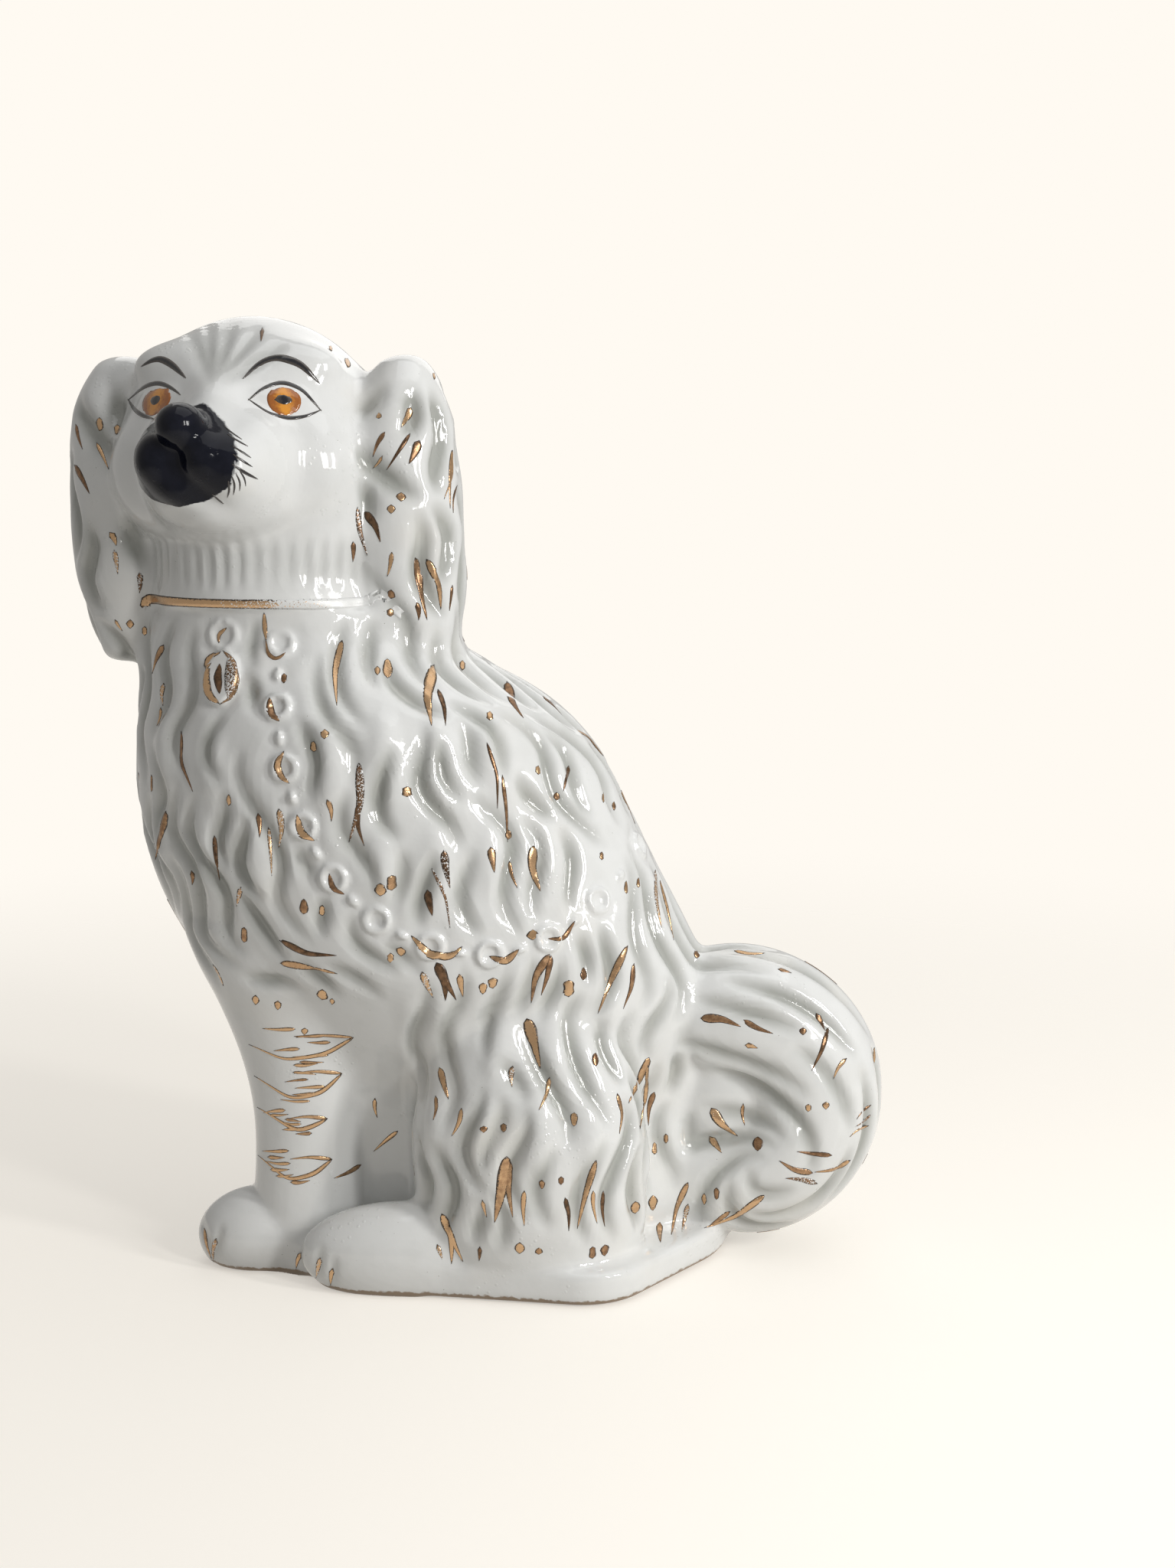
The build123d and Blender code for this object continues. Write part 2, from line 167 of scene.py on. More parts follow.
def egg_field(centre, half_sizes):
    """Distance, near its surface, to an egg that lies along the head's axes."""
    dx = grid_x - np.float32(centre[0])
    dy = grid_y - np.float32(centre[1])
    side = (dx * head_side[0] + dy * head_side[1]) / half_sizes[0]
    facing = (dx * head_facing[0] + dy * head_facing[1]) / half_sizes[1]
    up = (grid_z - np.float32(centre[2])) / half_sizes[2]
    stretch = np.sqrt(side * side + facing * facing + up * up)
    return np.clip((stretch - 1.0) * min(half_sizes), -BAND, BAND).astype(np.float32)


def blended(first, second, radius):
    """Union of two fields with a soft fillet."""
    near = np.maximum(radius - np.abs(first - second), 0.0) / radius
    return np.minimum(first, second) - near ** 3 * (radius / 6.0)


def shifted(axis, step):
    """Index of an array without its first or its last layer along an axis."""
    index = [slice(None)] * 3
    index[axis] = slice(1, None) if step > 0 else slice(None, -1)
    return tuple(index)


def spread(mask, steps):
    """A mask grown by a number of cells."""
    for _ in range(steps):
        grown = mask.copy()
        for axis in range(3):
            grown[shifted(axis, 1)] |= mask[shifted(axis, -1)]
            grown[shifted(axis, -1)] |= mask[shifted(axis, 1)]
        mask = grown
    return mask


def open_air(field):
    """Cells that air reaches from the sides, with the floor shut."""
    free = field > LEAK
    free[:, :, : int(-grid_low[2] / VOXEL)] = False
    reached = np.zeros(grid_shape, bool)
    reached[0] = free[0]
    reached[-1] = free[-1]
    count = 0
    while reached.sum() > count:
        count = reached.sum()
        for axis in range(3):
            cells = np.moveaxis(reached, axis, 0)
            ways = np.moveaxis(free, axis, 0)
            for index in range(1, len(cells)):
                cells[index] |= cells[index - 1] & ways[index]
            for index in range(len(cells) - 2, -1, -1):
                cells[index] |= cells[index + 1] & ways[index]
    return spread(reached, math.ceil(LEAK / VOXEL) + 1)


def softened(field, rounds):
    """A field averaged with its neighbours along each axis."""
    for _ in range(rounds):
        for axis in range(3):
            cells = np.moveaxis(field, axis, 0)
            cells[1:-1] = (cells[:-2] + 2.0 * cells[1:-1] + cells[2:]) / 4.0
    return field


# Clay pieces in the order that they are blended: nodes, parting plane, fillet, rounds of softening
MOULD_PARTING = (np.zeros(3), np.array((0.0, 1.0, 0.0)))
HEAD_PARTING = (head_middle, head_facing)
GROUPS = {
    "body": (("left_body_shell", "right_body_shell"), MOULD_PARTING, 1.0, 8),
    "plinth": (("base_slab",), None, 4.0, 1),
    "head": (("face_shell", "head_back_shell"), HEAD_PARTING, 3.0, 1),
    "ruff": (("neck_ruff", "collar"), None, 2.0, 1),
    "left_foreleg": (("left_foreleg",), None, 9.0, 1),
    "right_foreleg": (("right_foreleg",), None, 9.0, 1),
    "left_hind_foot": (("left_hind_foot",), None, 6.0, 1),
    "right_hind_foot": (("right_hind_foot",), None, 6.0, 1),
    "tail": (("tail",), None, 7.0, 4),
    "left_ear": (("left_ear",), None, 11.0, 10),
    "right_ear": (("right_ear",), None, 11.0, 10),
    "muzzle": (("muzzle",), None, 12.0, 2),
    "nose": (("nose",), None, 3.0, 1),
    "left_eye": (("left_eye",), None, 2.0, 1),
    "right_eye": (("right_eye",), None, 2.0, 1),
    "padlock_ring": (("padlock_ring",), None, 1.5, 0),
    "padlock_body": (("padlock_body",), None, 1.5, 0),
    "chain_links": (("chain_links",), None, 1.5, 0),
}
GROUP_NUMBER = {name: number for number, name in enumerate(GROUPS)}
FIRST_ORNAMENT = "left_eye"     # this and the groups after it are set on the softened clay

# Tops of the ears
EAR_ROUNDING = (25.0, 29.0, 66.0)   # egg that rounds an ear off
EAR_ROOM = 1.0                  # how far the egg's top lies above the ear's
EAR_FILLET = 5.0


def rounded_ear(field, name):
    """An ear with its top drawn in to a dome."""
    middle = node_middle(name)
    middle[2] = node_box(name)[1][2] + EAR_ROOM - EAR_ROUNDING[2]
    return -blended(-field, -egg_field(middle, EAR_ROUNDING), EAR_FILLET)


# Swellings of the face: place in the head's axes, half sizes, fillet
FACE_SWELLINGS = [
    ((0.0, 36.0, -6.0), (18.0, 24.0, 18.0), 12.0),
    ((0.0, 30.0, 12.0), (10.0, 20.0, 12.0), 10.0),
    ((0.0, 44.0, -20.0), (15.0, 14.0, 9.0), 12.0),
]
BROW = ((21.0, 20.5, 26.5), (13.0, 8.0, 6.5), 12.0)
CHEEK = ((25.0, 25.0, -8.0), (17.0, 15.0, 18.0), 12.0)
MUZZLE_FLARE = ((14.0, 44.0, -6.0), (11.0, 14.0, 15.0), 12.0)

# Lip lobes, chin and nose, set a little to the dog's right: place in the head's axes, half sizes
MUZZLE_DRAWN_IN = 3.0           # how far the rest of the muzzle stands back from them
LOBE_FILLET = 2.5
MUZZLE_LOBES = [
    ((-12.8, 59.5, -4.8), (7.6, 12.5, 9.2)),
    ((3.6, 60.0, -4.2), (7.8, 12.5, 9.4)),
    ((-6.0, 59.0, -13.4), (7.4, 10.0, 5.8)),
]
NOSE_EGG = ((-3.6, 66.0, 6.2), (7.9, 9.5, 7.4))


def modelled_face(skin):
    """The skin with the swellings of the face."""
    for place, half_sizes, fillet in FACE_SWELLINGS:
        skin = blended(skin, egg_field(head_point(*place), half_sizes), fillet)
    for side in (-1, 1):
        for (across, facing, up), half_sizes, fillet in (BROW, CHEEK, MUZZLE_FLARE):
            skin = blended(skin, egg_field(head_point(side * across, facing, up), half_sizes), fillet)
    return skin


def lobed_muzzle(field):
    """The muzzle drawn in, with its lip lobes and chin standing out."""
    field = field + MUZZLE_DRAWN_IN
    for place, half_sizes in MUZZLE_LOBES:
        field = blended(field, egg_field(head_point(*place), half_sizes), LOBE_FILLET)
    return field


def clay_field(name, nodes, parting):
    """Distance to a group of clay pieces, rounded as in the photograph."""
    if name == "nose":
        return egg_field(head_point(*NOSE_EGG[0]), NOSE_EGG[1])
    field = solid_field(nodes, parting)
    if name.endswith("_ear"):
        return rounded_ear(field, name)
    if name == "muzzle":
        return lobed_muzzle(field)
    return field


def whole_skin():
    """Blended field of the dog and the number of the group that each cell belongs to."""
    skin = None
    owner = np.zeros(grid_shape, np.uint8)
    nearest = np.full(grid_shape, BAND, np.float32)
    for name, (nodes, parting, fillet, rounds) in GROUPS.items():
        if name == FIRST_ORNAMENT:
            near_air = spread(open_air(nearest), math.ceil(WALL_DEPTH / VOXEL))
            skin = np.where(near_air, modelled_face(skin), -np.minimum(grid_z, WALL_DEPTH))
            skin = softened(skin, SKIN_SOFTENING)
        field = clay_field(name, nodes, parting)
        owner[field < nearest] = GROUP_NUMBER[name]
        np.minimum(nearest, field, out=nearest)
        field = softened(field, rounds)
        skin = field if skin is None else blended(skin, field, fillet)
    return skin, owner


def surface(field):
    """Corners and quads of a field's surface."""
    volume = openvdb.FloatGrid(BAND)
    volume.transform = grid_scale
    volume.copyFromArray(np.clip(field, -BAND, BAND), ijk=grid_corner)
    corners, quads = volume.convertToQuads(isovalue=0.0)
    return corners.astype(np.float64), quads.astype(np.int64)


def corner_normals(corners, quads):
    """Unit normals at the corners, weighted by area."""
    first = corners[quads[:, 2]] - corners[quads[:, 0]]
    second = corners[quads[:, 3]] - corners[quads[:, 1]]
    faces = np.cross(first, second)
    normals = np.zeros_like(corners)
    for side in range(4):
        for axis in range(3):
            share = np.bincount(quads[:, side], weights=faces[:, axis], minlength=len(corners))
            normals[:, axis] += share
    return normals / np.maximum(np.linalg.norm(normals, axis=1, keepdims=True), 1e-12)


def evened(values, quads, rounds):
    """Corner values averaged with those of their neighbours."""
    for _ in range(rounds):
        total = values.copy()
        count = np.ones(len(values))
        for side in range(4):
            here = quads[:, side]
            there = quads[:, (side + 1) % 4]
            total += np.bincount(here, weights=values[there], minlength=len(values))
            total += np.bincount(there, weights=values[here], minlength=len(values))
            count += np.bincount(here, minlength=len(values))
            count += np.bincount(there, minlength=len(values))
        values = total / count
    return values


def ramp(values, start, end):
    """Smooth step from 0 at start to 1 at end."""
    share = np.clip((values - start) / (end - start), 0.0, 1.0)
    return share * share * (3.0 - 2.0 * share)


def fall(values, start, end):
    """Smooth step from 1 at start to 0 at end."""
    return ramp(-values, -end, -start)


def tree_of(points):
    """A tree that finds the nearest of some points."""
    tree = KDTree(len(points))
    for index, point in enumerate(points):
        tree.insert(point, index)
    tree.balance()
    return tree


skin_field, skin_owner = whole_skin()
corners, quads = surface(skin_field)
normals = corner_normals(corners, quads)
cells = np.round((corners - grid_low) / VOXEL).astype(int)
corner_group = skin_owner[cells[:, 0], cells[:, 1], cells[:, 2]]


def in_group(*names):
    """Which corners belong to these groups."""
    return np.isin(corner_group, [GROUP_NUMBER[name] for name in names])


# Where the coat is: 1 on the fur, 0 on the smooth face, ruff, legs, feet and plinth
FOOT_FUR = (17.0, 25.0)         # heights over which the coat begins above the plinth
LEG_FUR = (96.0, 112.0)         # heights between which a foreleg turns from smooth to furry
TAIL_FUR = (2.0, 10.0)          # heights over which the tail turns furry
WEB_BACK = (-26.0, -20.0)       # x over which the smooth hollow between foreleg and thigh ends
WEB_TOP = (100.0, 112.0)        # heights over which it ends
COLLAR_FUR = (6.0, 1.0)         # depths below the collar over which the coat ends
HEAD_FUR = (-14.0, -2.0)        # places behind the head's parting over which the coat ends
CROWN_FUR = (22.0, 40.0)        # heights in the head's axes over which the crown turns smooth
EAR_DOME = (6.0, 22.0)          # depths below an ear's top over which its coat begins
CHAIN_CLEARANCE = (1.0, 5.0)    # distances from chain and padlock over which the coat comes back
COAT_EVENING = 4                # rounds of evening at the edges of the coat


def coat_mask():
    """Share of full fur depth at each corner."""
    _, facing, up = head_axes(corners)
    x, _, z = corners.T
    coat = np.zeros(len(corners))
    body = in_group("body")
    web = fall(x, *WEB_BACK) * fall(z, *WEB_TOP)
    under_collar = fall(z, neck_top - COLLAR_FUR[0], neck_top - COLLAR_FUR[1])
    coat[body] = ((1.0 - web) * under_collar * ramp(z, *FOOT_FUR))[body]
    tail = in_group("tail")
    coat[tail] = ramp(z, *TAIL_FUR)[tail]
    legs = in_group("left_foreleg", "right_foreleg")
    coat[legs] = ramp(z, *LEG_FUR)[legs]
    ears = in_group("left_ear", "right_ear")
    coat[ears] = ramp(node_box("left_ear")[1][2] - z, *EAR_DOME)[ears]
    head = in_group("head")
    coat[head] = (fall(facing, *HEAD_FUR) * fall(up, *CROWN_FUR))[head]
    ornaments = tree_of(corners[in_group("chain_links", "padlock_body", "padlock_ring")])
    furry = np.flatnonzero(coat)
    gaps = np.array([ornaments.find(point)[2] for point in corners[furry]])
    coat[furry] *= ramp(gaps, *CHAIN_CLEARANCE)
    return evened(coat, quads, COAT_EVENING)


coat = coat_mask()

# Lie of the coat, seen from the show side: x, height, degrees from straight down towards the tail
LIE_GUIDES = np.array([
    (-112, 215, 0), (-116, 180, 3), (-110, 140, 14), (-98, 118, 28), (-88, 100, 20),
    (-88, 205, -4), (-88, 170, 4), (-86, 135, 18), (-72, 112, 62), (-55, 112, 70),
    (-62, 200, 0), (-60, 165, 4), (-48, 135, 15), (-30, 112, 35), (-12, 112, 8),
    (-32, 215, 12), (-28, 180, 10), (-15, 150, 8), (0, 195, 30), (14, 170, 22),
    (34, 190, 40), (52, 163, 34), (70, 128, 26), (38, 150, 16), (20, 132, 4),
    (50, 118, -20), (62, 95, -16), (-12, 88, 2), (18, 92, 6), (44, 84, -8),
    (-14, 48, 6), (16, 50, 0), (46, 50, -8), (-4, 24, 8), (38, 22, -8),
    (-40, 245, 8), (-18, 228, 34), (-12, 302, -34), (-18, 268, 30), (-10, 236, 4),
    (-136, 300, 22), (-138, 262, -8), (-128, 228, 22),
], float)
LIE_REACH = 14.0                # distance over which one guide gives way to the next
WAVE_SWING = math.radians(30.0)
WAVE_LENGTH = 37.0
WAVE_SLANT = 0.25               # how much the waves' crests rise towards the chest
SWIRL = np.array((101.0, 36.0))     # x and height that the tail's locks curl in to
SWIRL_PULL = (0.3, 1.1)         # how steeply they curl in: everywhere, and more on the dog's side


def lie_of_coat(point, normal, on_tail):
    """Direction of the fur in the skin at a point."""
    x, y, z = point
    if on_tail:
        away = np.array((x, z)) - SWIRL
        away /= max(np.linalg.norm(away), 1e-6)
        inward = SWIRL_PULL[0] + SWIRL_PULL[1] * max(0.0, -away[0])
        direction = np.array((away[1] - inward * away[0], 0.0, -away[0] - inward * away[1]))
    else:
        squares = (LIE_GUIDES[:, 0] - x) ** 2 + (LIE_GUIDES[:, 1] - z) ** 2
        weights = 1.0 / (squares + LIE_REACH ** 2 / 4) ** 2
        lean = math.radians((weights @ LIE_GUIDES[:, 2]) / weights.sum())
        direction = np.array((math.sin(lean), 0.0, -math.cos(lean)))
    direction = direction - normal * (direction @ normal)
    direction /= max(np.linalg.norm(direction), 1e-6)
    if on_tail:
        return direction
    # The waves wander, so that neighbouring locks don't line up
    drift = 1.4 * math.sin(x / 23.0 + z / 41.0) + 1.1 * math.sin(x / 17.0 - y / 13.0)
    swing = WAVE_SWING * math.sin(2.0 * math.pi * (z + WAVE_SLANT * x) / WAVE_LENGTH + drift)
    return direction * math.cos(swing) + np.cross(normal, direction) * math.sin(swing)


class Skin:
    def __init__(self, points, faces):
        self.faces = faces
        self.tree = BVHTree.FromPolygons(points.tolist(), faces.tolist())

    def nearest(self, point):
        """Nearest place, its normal and its face."""
        place, normal, face, _ = self.tree.find_nearest(Vector(point))
        return np.array(place), np.array(normal), face

    def struck(self, start, direction):
        """Place, normal and face that a ray strikes, or None."""
        place, normal, face, _ = self.tree.ray_cast(Vector(start), Vector(direction))
        return None if place is None else (np.array(place), np.array(normal), face)


clay = Skin(corners, quads)
tail_corner = in_group("tail")

# Carved grooves that part the locks
STRIDE = 1.2
LOCK_WIDTH = 8.4                # between the grooves
EAR_LOCKS = 1.3                 # how much larger the locks of the ears are
LOCK_LENGTHS = (32.0, 84.0)
LOCK_KEEP_OFF = 0.62            # share of a lock's width at which a groove stops short of another
GROOVE_DEPTHS = (2.2, 3.4)
GROOVE_HALF_WIDTH = 1.7
SHORTEST_GROOVE = 10.0
COAT_LIFT = 0.9                 # how far the crests stand off the plain form
SEED_COUNT = 9000
FUR_START = 0.5                 # share of full fur at which a groove may start
FUR_END = 0.3                   # share at which it ends
ANY_FUR = 0.02                  # share below which nothing is pressed in
NEAR_SAMPLES = 3                # samples of the grooves that press on one corner


class Spacing:
    """Points in a coarse net, to keep grooves apart."""

    def __init__(self, size):
        self.size = size
        self.net = {}

    def key(self, point):
        return tuple(int(math.floor(value / self.size)) for value in point)

    def add(self, points):
        for point in points:
            self.net.setdefault(self.key(point), []).append(point)

    def is_free(self, point, distance):
        i, j, k = self.key(point)
        limit = distance * distance
        for di in (-1, 0, 1):
            for dj in (-1, 0, 1):
                for dk in (-1, 0, 1):
                    for other in self.net.get((i + di, j + dj, k + dk), ()):
                        gap = point - other
                        if gap @ gap < limit:
                            return False
        return True


def traced(start, length, backwards, spacing=None, keep_off=0.0):
    """Points along the lie of the coat from a start, until it ends or nears another line."""
    points = []
    point = start
    for _ in range(int(length / STRIDE)):
        place, normal, face = clay.nearest(point)
        corner = clay.faces[face][0]
        if coat[corner] < FUR_END:
            break
        if spacing is not None and not spacing.is_free(place, keep_off):
            break
        points.append(place)
        step = lie_of_coat(place, normal, tail_corner[corner]) * STRIDE
        point = place - step if backwards else place + step
    return points


def carve_grooves():
    """Samples of all grooves: places, depths and half widths."""
    spacing = Spacing(LOCK_WIDTH * EAR_LOCKS)
    places, depths, widths = [], [], []
    furry = np.flatnonzero(coat > FUR_START)
    size = np.where(in_group("left_ear", "right_ear"), EAR_LOCKS, 1.0)
    for corner in RANDOM.choice(furry, SEED_COUNT, replace=False):
        start = corners[corner]
        length = RANDOM.uniform(*LOCK_LENGTHS)
        depth = RANDOM.uniform(*GROOVE_DEPTHS)
        if not spacing.is_free(start, LOCK_WIDTH * size[corner]):
            continue
        keep_off = LOCK_KEEP_OFF * LOCK_WIDTH * size[corner]
        after = traced(start, length / 2, False, spacing, keep_off)
        before = traced(start, length / 2, True, spacing, keep_off)
        line = before[:0:-1] + after
        if len(line) * STRIDE < SHORTEST_GROOVE:
            continue
        spacing.add(line)
        share = (np.arange(len(line)) + 0.5) / len(line)
        taper = np.sin(math.pi * share) ** 0.6
        places += line
        depths += (depth * size[corner] * taper).tolist()
        widths += (GROOVE_HALF_WIDTH * size[corner] * (0.75 + 0.35 * taper)).tolist()
    return np.array(places), np.array(depths), np.array(widths)


def pressed(places, depths, widths, where):
    """Depth that the nearest grooves press into the corners."""
    tree = tree_of(places)
    depth = np.zeros(len(corners))
    for corner in np.flatnonzero(where):
        for _, index, distance in tree.find_n(corners[corner], NEAR_SAMPLES):
            share = math.exp(-0.5 * (distance / widths[index]) ** 2)
            depth[corner] = max(depth[corner], depths[index] * share)
    return depth


# Places under the photograph's pixels
PIXELS_PER_MM = 3.7
STROKE_STEP = 1.1               # mm between the points of a broad stroke
LINE_STEP = 0.8                 # of a fine line
TOUCH_STEP = 0.6                # of a round touch
eye_point = np.array(CAMERA_PLACE) / MM


def sight(column, row):
    """Direction of the camera's ray through a pixel."""
    across = (column - IMAGE_WIDTH / 2) / FOCAL_PIXELS
    above = (IMAGE_HEIGHT / 2 - row) / FOCAL_PIXELS
    forward = math.cos(PITCH) + above * math.sin(PITCH)
    return np.array((across, forward, above * math.cos(PITCH) - math.sin(PITCH)))


def drawn(skin, pixels, step=STROKE_STEP):
    """Places on a skin along a soft line through pixels."""
    pixels = np.array(pixels, float)
    lengths = np.linalg.norm(np.diff(pixels, axis=0), axis=1)
    knots = np.concatenate(((0.0,), np.cumsum(lengths)))
    count = max(5, int(knots[-1] / PIXELS_PER_MM / step))
    shares = np.linspace(0.0, knots[-1], count)
    line = np.column_stack([np.interp(shares, knots, pixels[:, axis]) for axis in range(2)])
    for _ in range(count // 3):
        line[1:-1] = (line[:-2] + 2.0 * line[1:-1] + line[2:]) / 4.0
    hits = [skin.struck(eye_point, sight(*pixel)) for pixel in line]
    return np.array([hit[0] for hit in hits if hit is not None])


# Folds of the brow, flutes of the ruff and partings of the toes
BROW_FOLDS = [
    [(277, 500), (262, 466), (243, 418)],
    [(278, 498), (272, 462), (272, 412)],
    [(279, 498), (291, 458), (305, 410)],
    [(281, 499), (308, 464), (339, 428)],
    [(284, 500), (324, 478), (366, 452)],
]
TOE_LINES = [
    [(394, 1628), (388, 1656)], [(419, 1634), (412, 1673)], [(437, 1648), (432, 1678)],
    [(262, 1592), (279, 1648)], [(288, 1604), (279, 1648)],
]
FLUTE_PITCH = 5.6
FLUTE_REACH = (0.34, 0.95)      # shares of the ruff's height between which the flutes run
FLUTE_POINTS = 12
FOLD_CUT = (1.3, 1.9)           # depth and half width of a fold
TOE_CUT = (1.2, 1.1)
FLUTE_CUT = (1.0, 1.3)
FULL_RECESS = 2.5               # depth at which a groove has its darkest painted shade


def score_lines():
    """Samples of the scored lines: places, depths and half widths."""
    places, depths, widths = [], [], []

    def score(line, depth, width):
        taper = np.sin(math.pi * (np.arange(len(line)) + 0.5) / len(line)) ** 0.5
        places.extend(line)
        depths.extend(depth * taper)
        widths.extend(np.full(len(line), width))

    for pixels in BROW_FOLDS:
        score(drawn(clay, pixels), *FOLD_CUT)
    for pixels in TOE_LINES:
        score(drawn(clay, pixels), *TOE_CUT)
    low, high = node_box("neck_ruff")
    radius = (high[0] - low[0]) / 2
    heights = low[2] + (high[2] - low[2]) * np.linspace(*FLUTE_REACH, FLUTE_POINTS)
    for turn in np.arange(0.0, 2.0 * math.pi, FLUTE_PITCH / radius):
        away = np.array((math.cos(turn), math.sin(turn), 0.0)) * radius
        line = [clay.nearest((neck_axis[0] + away[0], neck_axis[1] + away[1], z))[0] for z in heights]
        score(line, *FLUTE_CUT)
    return np.array(places), np.array(depths), np.array(widths)


relief = coat * (COAT_LIFT - pressed(*carve_grooves(), coat > ANY_FUR))
bare = in_group("head", "ruff", "left_hind_foot", "right_hind_foot", "left_foreleg", "right_foreleg")
relief -= pressed(*score_lines(), bare)
relief = evened(relief, quads, 2)
corners = corners + normals * relief[:, None]
corners[:, 2] = np.maximum(corners[:, 2], 0.0)
normals = corner_normals(corners, quads)
# Painted shade: the deeper a corner lies below the crests of the coat, the darker its glaze is drawn;
# this is mostly painted shade and partly a faint grey of the glaze
recess = np.clip(evened(COAT_LIFT * coat - relief, quads, 3) / FULL_RECESS, 0.0, 1.0)


# Meshes
def mesh_object(name, points, faces, point_normals=None, **values):
    """A smooth mesh object in metres, with values on its corners."""
    faces = np.asarray(faces)
    mesh = bpy.data.meshes.new(name)
    mesh.vertices.add(len(points))
    mesh.vertices.foreach_set("co", (points * MM).ravel())
    mesh.loops.add(faces.size)
    mesh.loops.foreach_set("vertex_index", faces.ravel())
    mesh.polygons.add(len(faces))
    mesh.polygons.foreach_set("loop_start", np.arange(0, faces.size, faces.shape[1]))
    mesh.update(calc_edges=True)
    mesh.validate()
    mesh.polygons.foreach_set("use_smooth", np.ones(len(mesh.polygons), bool))
    for label, numbers in values.items():
        attribute = mesh.attributes.new(label, "FLOAT", "POINT")
        attribute.data.foreach_set("value", np.asarray(numbers, np.float32))
    if point_normals is not None:
        mesh.normals_split_custom_set_from_vertices(point_normals.tolist())
    thing = bpy.data.objects.new(name, mesh)
    bpy.context.scene.collection.objects.link(thing)
    return thing


def dress(thing, material, slot, *nodes):
    """Gives a piece its material and its body, and hides the nodes that it stands for. The slot is not
    used.
    """
    thing.data.materials.append(material)
    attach(thing, "root")
    if nodes:
        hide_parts(*nodes)


def shell_of(chosen):
    """Points, faces, normals and source corners of a closed piece of skin."""
    faces = quads[chosen]
    used, faces = np.unique(faces, return_inverse=True)
    faces = faces.reshape(-1, 4)
    count = len(used)
    edges = np.concatenate([faces[:, (side, (side + 1) % 4)] for side in range(4)])
    keys = np.sort(edges, axis=1) @ np.array((count, 1))
    _, first, repeats = np.unique(keys, return_index=True, return_counts=True)
    rim = edges[first[repeats == 1]]
    sides = np.column_stack((rim[:, 1], rim[:, 0], rim[:, 0] + count, rim[:, 1] + count))
    points = np.concatenate((corners[used], corners[used] - normals[used] * SKIN))
    points[:, 2] = np.maximum(points[:, 2], 0.0)
    directions = np.concatenate((normals[used], -normals[used]))
    return points, np.concatenate((faces, faces[:, ::-1] + count, sides)), directions, np.tile(used, 2)


# Finishes
class Finish:
    """A material whose nodes are added in plain steps."""

    def __init__(self, name):
        self.material = bpy.data.materials.new(name)
        self.material.use_nodes = True
        self.tree = self.material.node_tree
        self.shader = self.tree.nodes["Principled BSDF"]
        self.place = self.node("ShaderNodeTexCoord").outputs["Object"]

    def node(self, kind, **settings):
        node = self.tree.nodes.new(kind)
        for label, value in settings.items():
            setattr(node, label, value)
        return node

    def link(self, output, socket):
        self.tree.links.new(output, socket)

    def set(self, socket, value):
        self.shader.inputs[socket].default_value = value

    def drive(self, socket, output):
        self.link(output, self.shader.inputs[socket])

    def value(self, label):
        """A value kept on the mesh's corners."""
        return self.node("ShaderNodeAttribute", attribute_name=label).outputs["Fac"]

    def noise(self, size, detail=2.0):
        """Cloudy values whose blotches are about this many mm across."""
        noise = self.node("ShaderNodeTexNoise")
        noise.inputs["Scale"].default_value = 1.0 / (size * MM)
        noise.inputs["Detail"].default_value = detail
        self.link(self.place, noise.inputs["Vector"])
        return noise.outputs["Fac"]

    def pits(self, spacing):
        """Distance to the nearest of points about this many mm apart, as a share of that."""
        cells = self.node("ShaderNodeTexVoronoi")
        cells.inputs["Scale"].default_value = 1.0 / (spacing * MM)
        self.link(self.place, cells.inputs["Vector"])
        return cells.outputs["Distance"]

    def sum(self, first, second, share=1.0):
        """The first value plus a share of the second."""
        node = self.node("ShaderNodeMath", operation="MULTIPLY_ADD")
        self.link(second, node.inputs[0])
        node.inputs[1].default_value = share
        self.link(first, node.inputs[2])
        return node.outputs["Value"]

    def times(self, first, second):
        node = self.node("ShaderNodeMath", operation="MULTIPLY")
        self.link(first, node.inputs[0])
        self.link(second, node.inputs[1])
        return node.outputs["Value"]

    def between(self, value, start, end, low=0.0, high=1.0):
        """Low where the value is at start, high where it is at end, with a soft step between."""
        step = self.node("ShaderNodeMapRange", interpolation_type="SMOOTHSTEP")
        step.inputs["From Min"].default_value = start
        step.inputs["From Max"].default_value = end
        step.inputs["To Min"].default_value = low
        step.inputs["To Max"].default_value = high
        self.link(value, step.inputs["Value"])
        return step.outputs["Result"]

    def colours(self, value, *stops):
        """Colour ramp through (place, colour) stops."""
        ramp_node = self.node("ShaderNodeValToRGB")
        elements = ramp_node.color_ramp.elements
        for index, (place, colour) in enumerate(stops):
            element = elements[index] if index < 2 else elements.new(place)
            element.position = place
            element.color = (*colour, 1.0)
        self.link(value, ramp_node.inputs["Fac"])
        return ramp_node.outputs["Color"]

    def mixed(self, factor, first, second):
        """First colour where the factor is 0, second where it is 1."""
        mix = self.node("ShaderNodeMix", data_type="RGBA")
        self.link(factor, mix.inputs["Factor"])
        for socket, colour in ((mix.inputs[6], first), (mix.inputs[7], second)):
            if isinstance(colour, tuple):
                socket.default_value = (*colour, 1.0)
            else:
                self.link(colour, socket)
        return mix.outputs[2]

    def bumped(self, value, height):
        """Lets a value from 0 to 1 raise the surface by up to this many mm."""
        bump = self.node("ShaderNodeBump")
        bump.inputs["Distance"].default_value = height * MM
        self.link(value, bump.inputs["Height"])
        self.drive("Normal", bump.outputs["Normal"])


WHITE = (0.80, 0.81, 0.805)
# Painted shade in the grooves, with a faint grey of the glaze there
SHADED_GROOVE = (0.42, 0.43, 0.405)
CLOUDED = (0.79, 0.775, 0.735)
PINHOLE = (0.16, 0.13, 0.11)
BARE_CLAY = (0.30, 0.22, 0.15)
BLACK = (0.0035, 0.0045, 0.010)
THIN_BLACK = (0.008, 0.009, 0.017)
BROWN_GOLD = (0.075, 0.045, 0.026)
WORN_GOLD = (0.29, 0.165, 0.09)
BRIGHT_GOLD = (0.60, 0.39, 0.22)
BURNT_GOLD = (0.05, 0.034, 0.024)


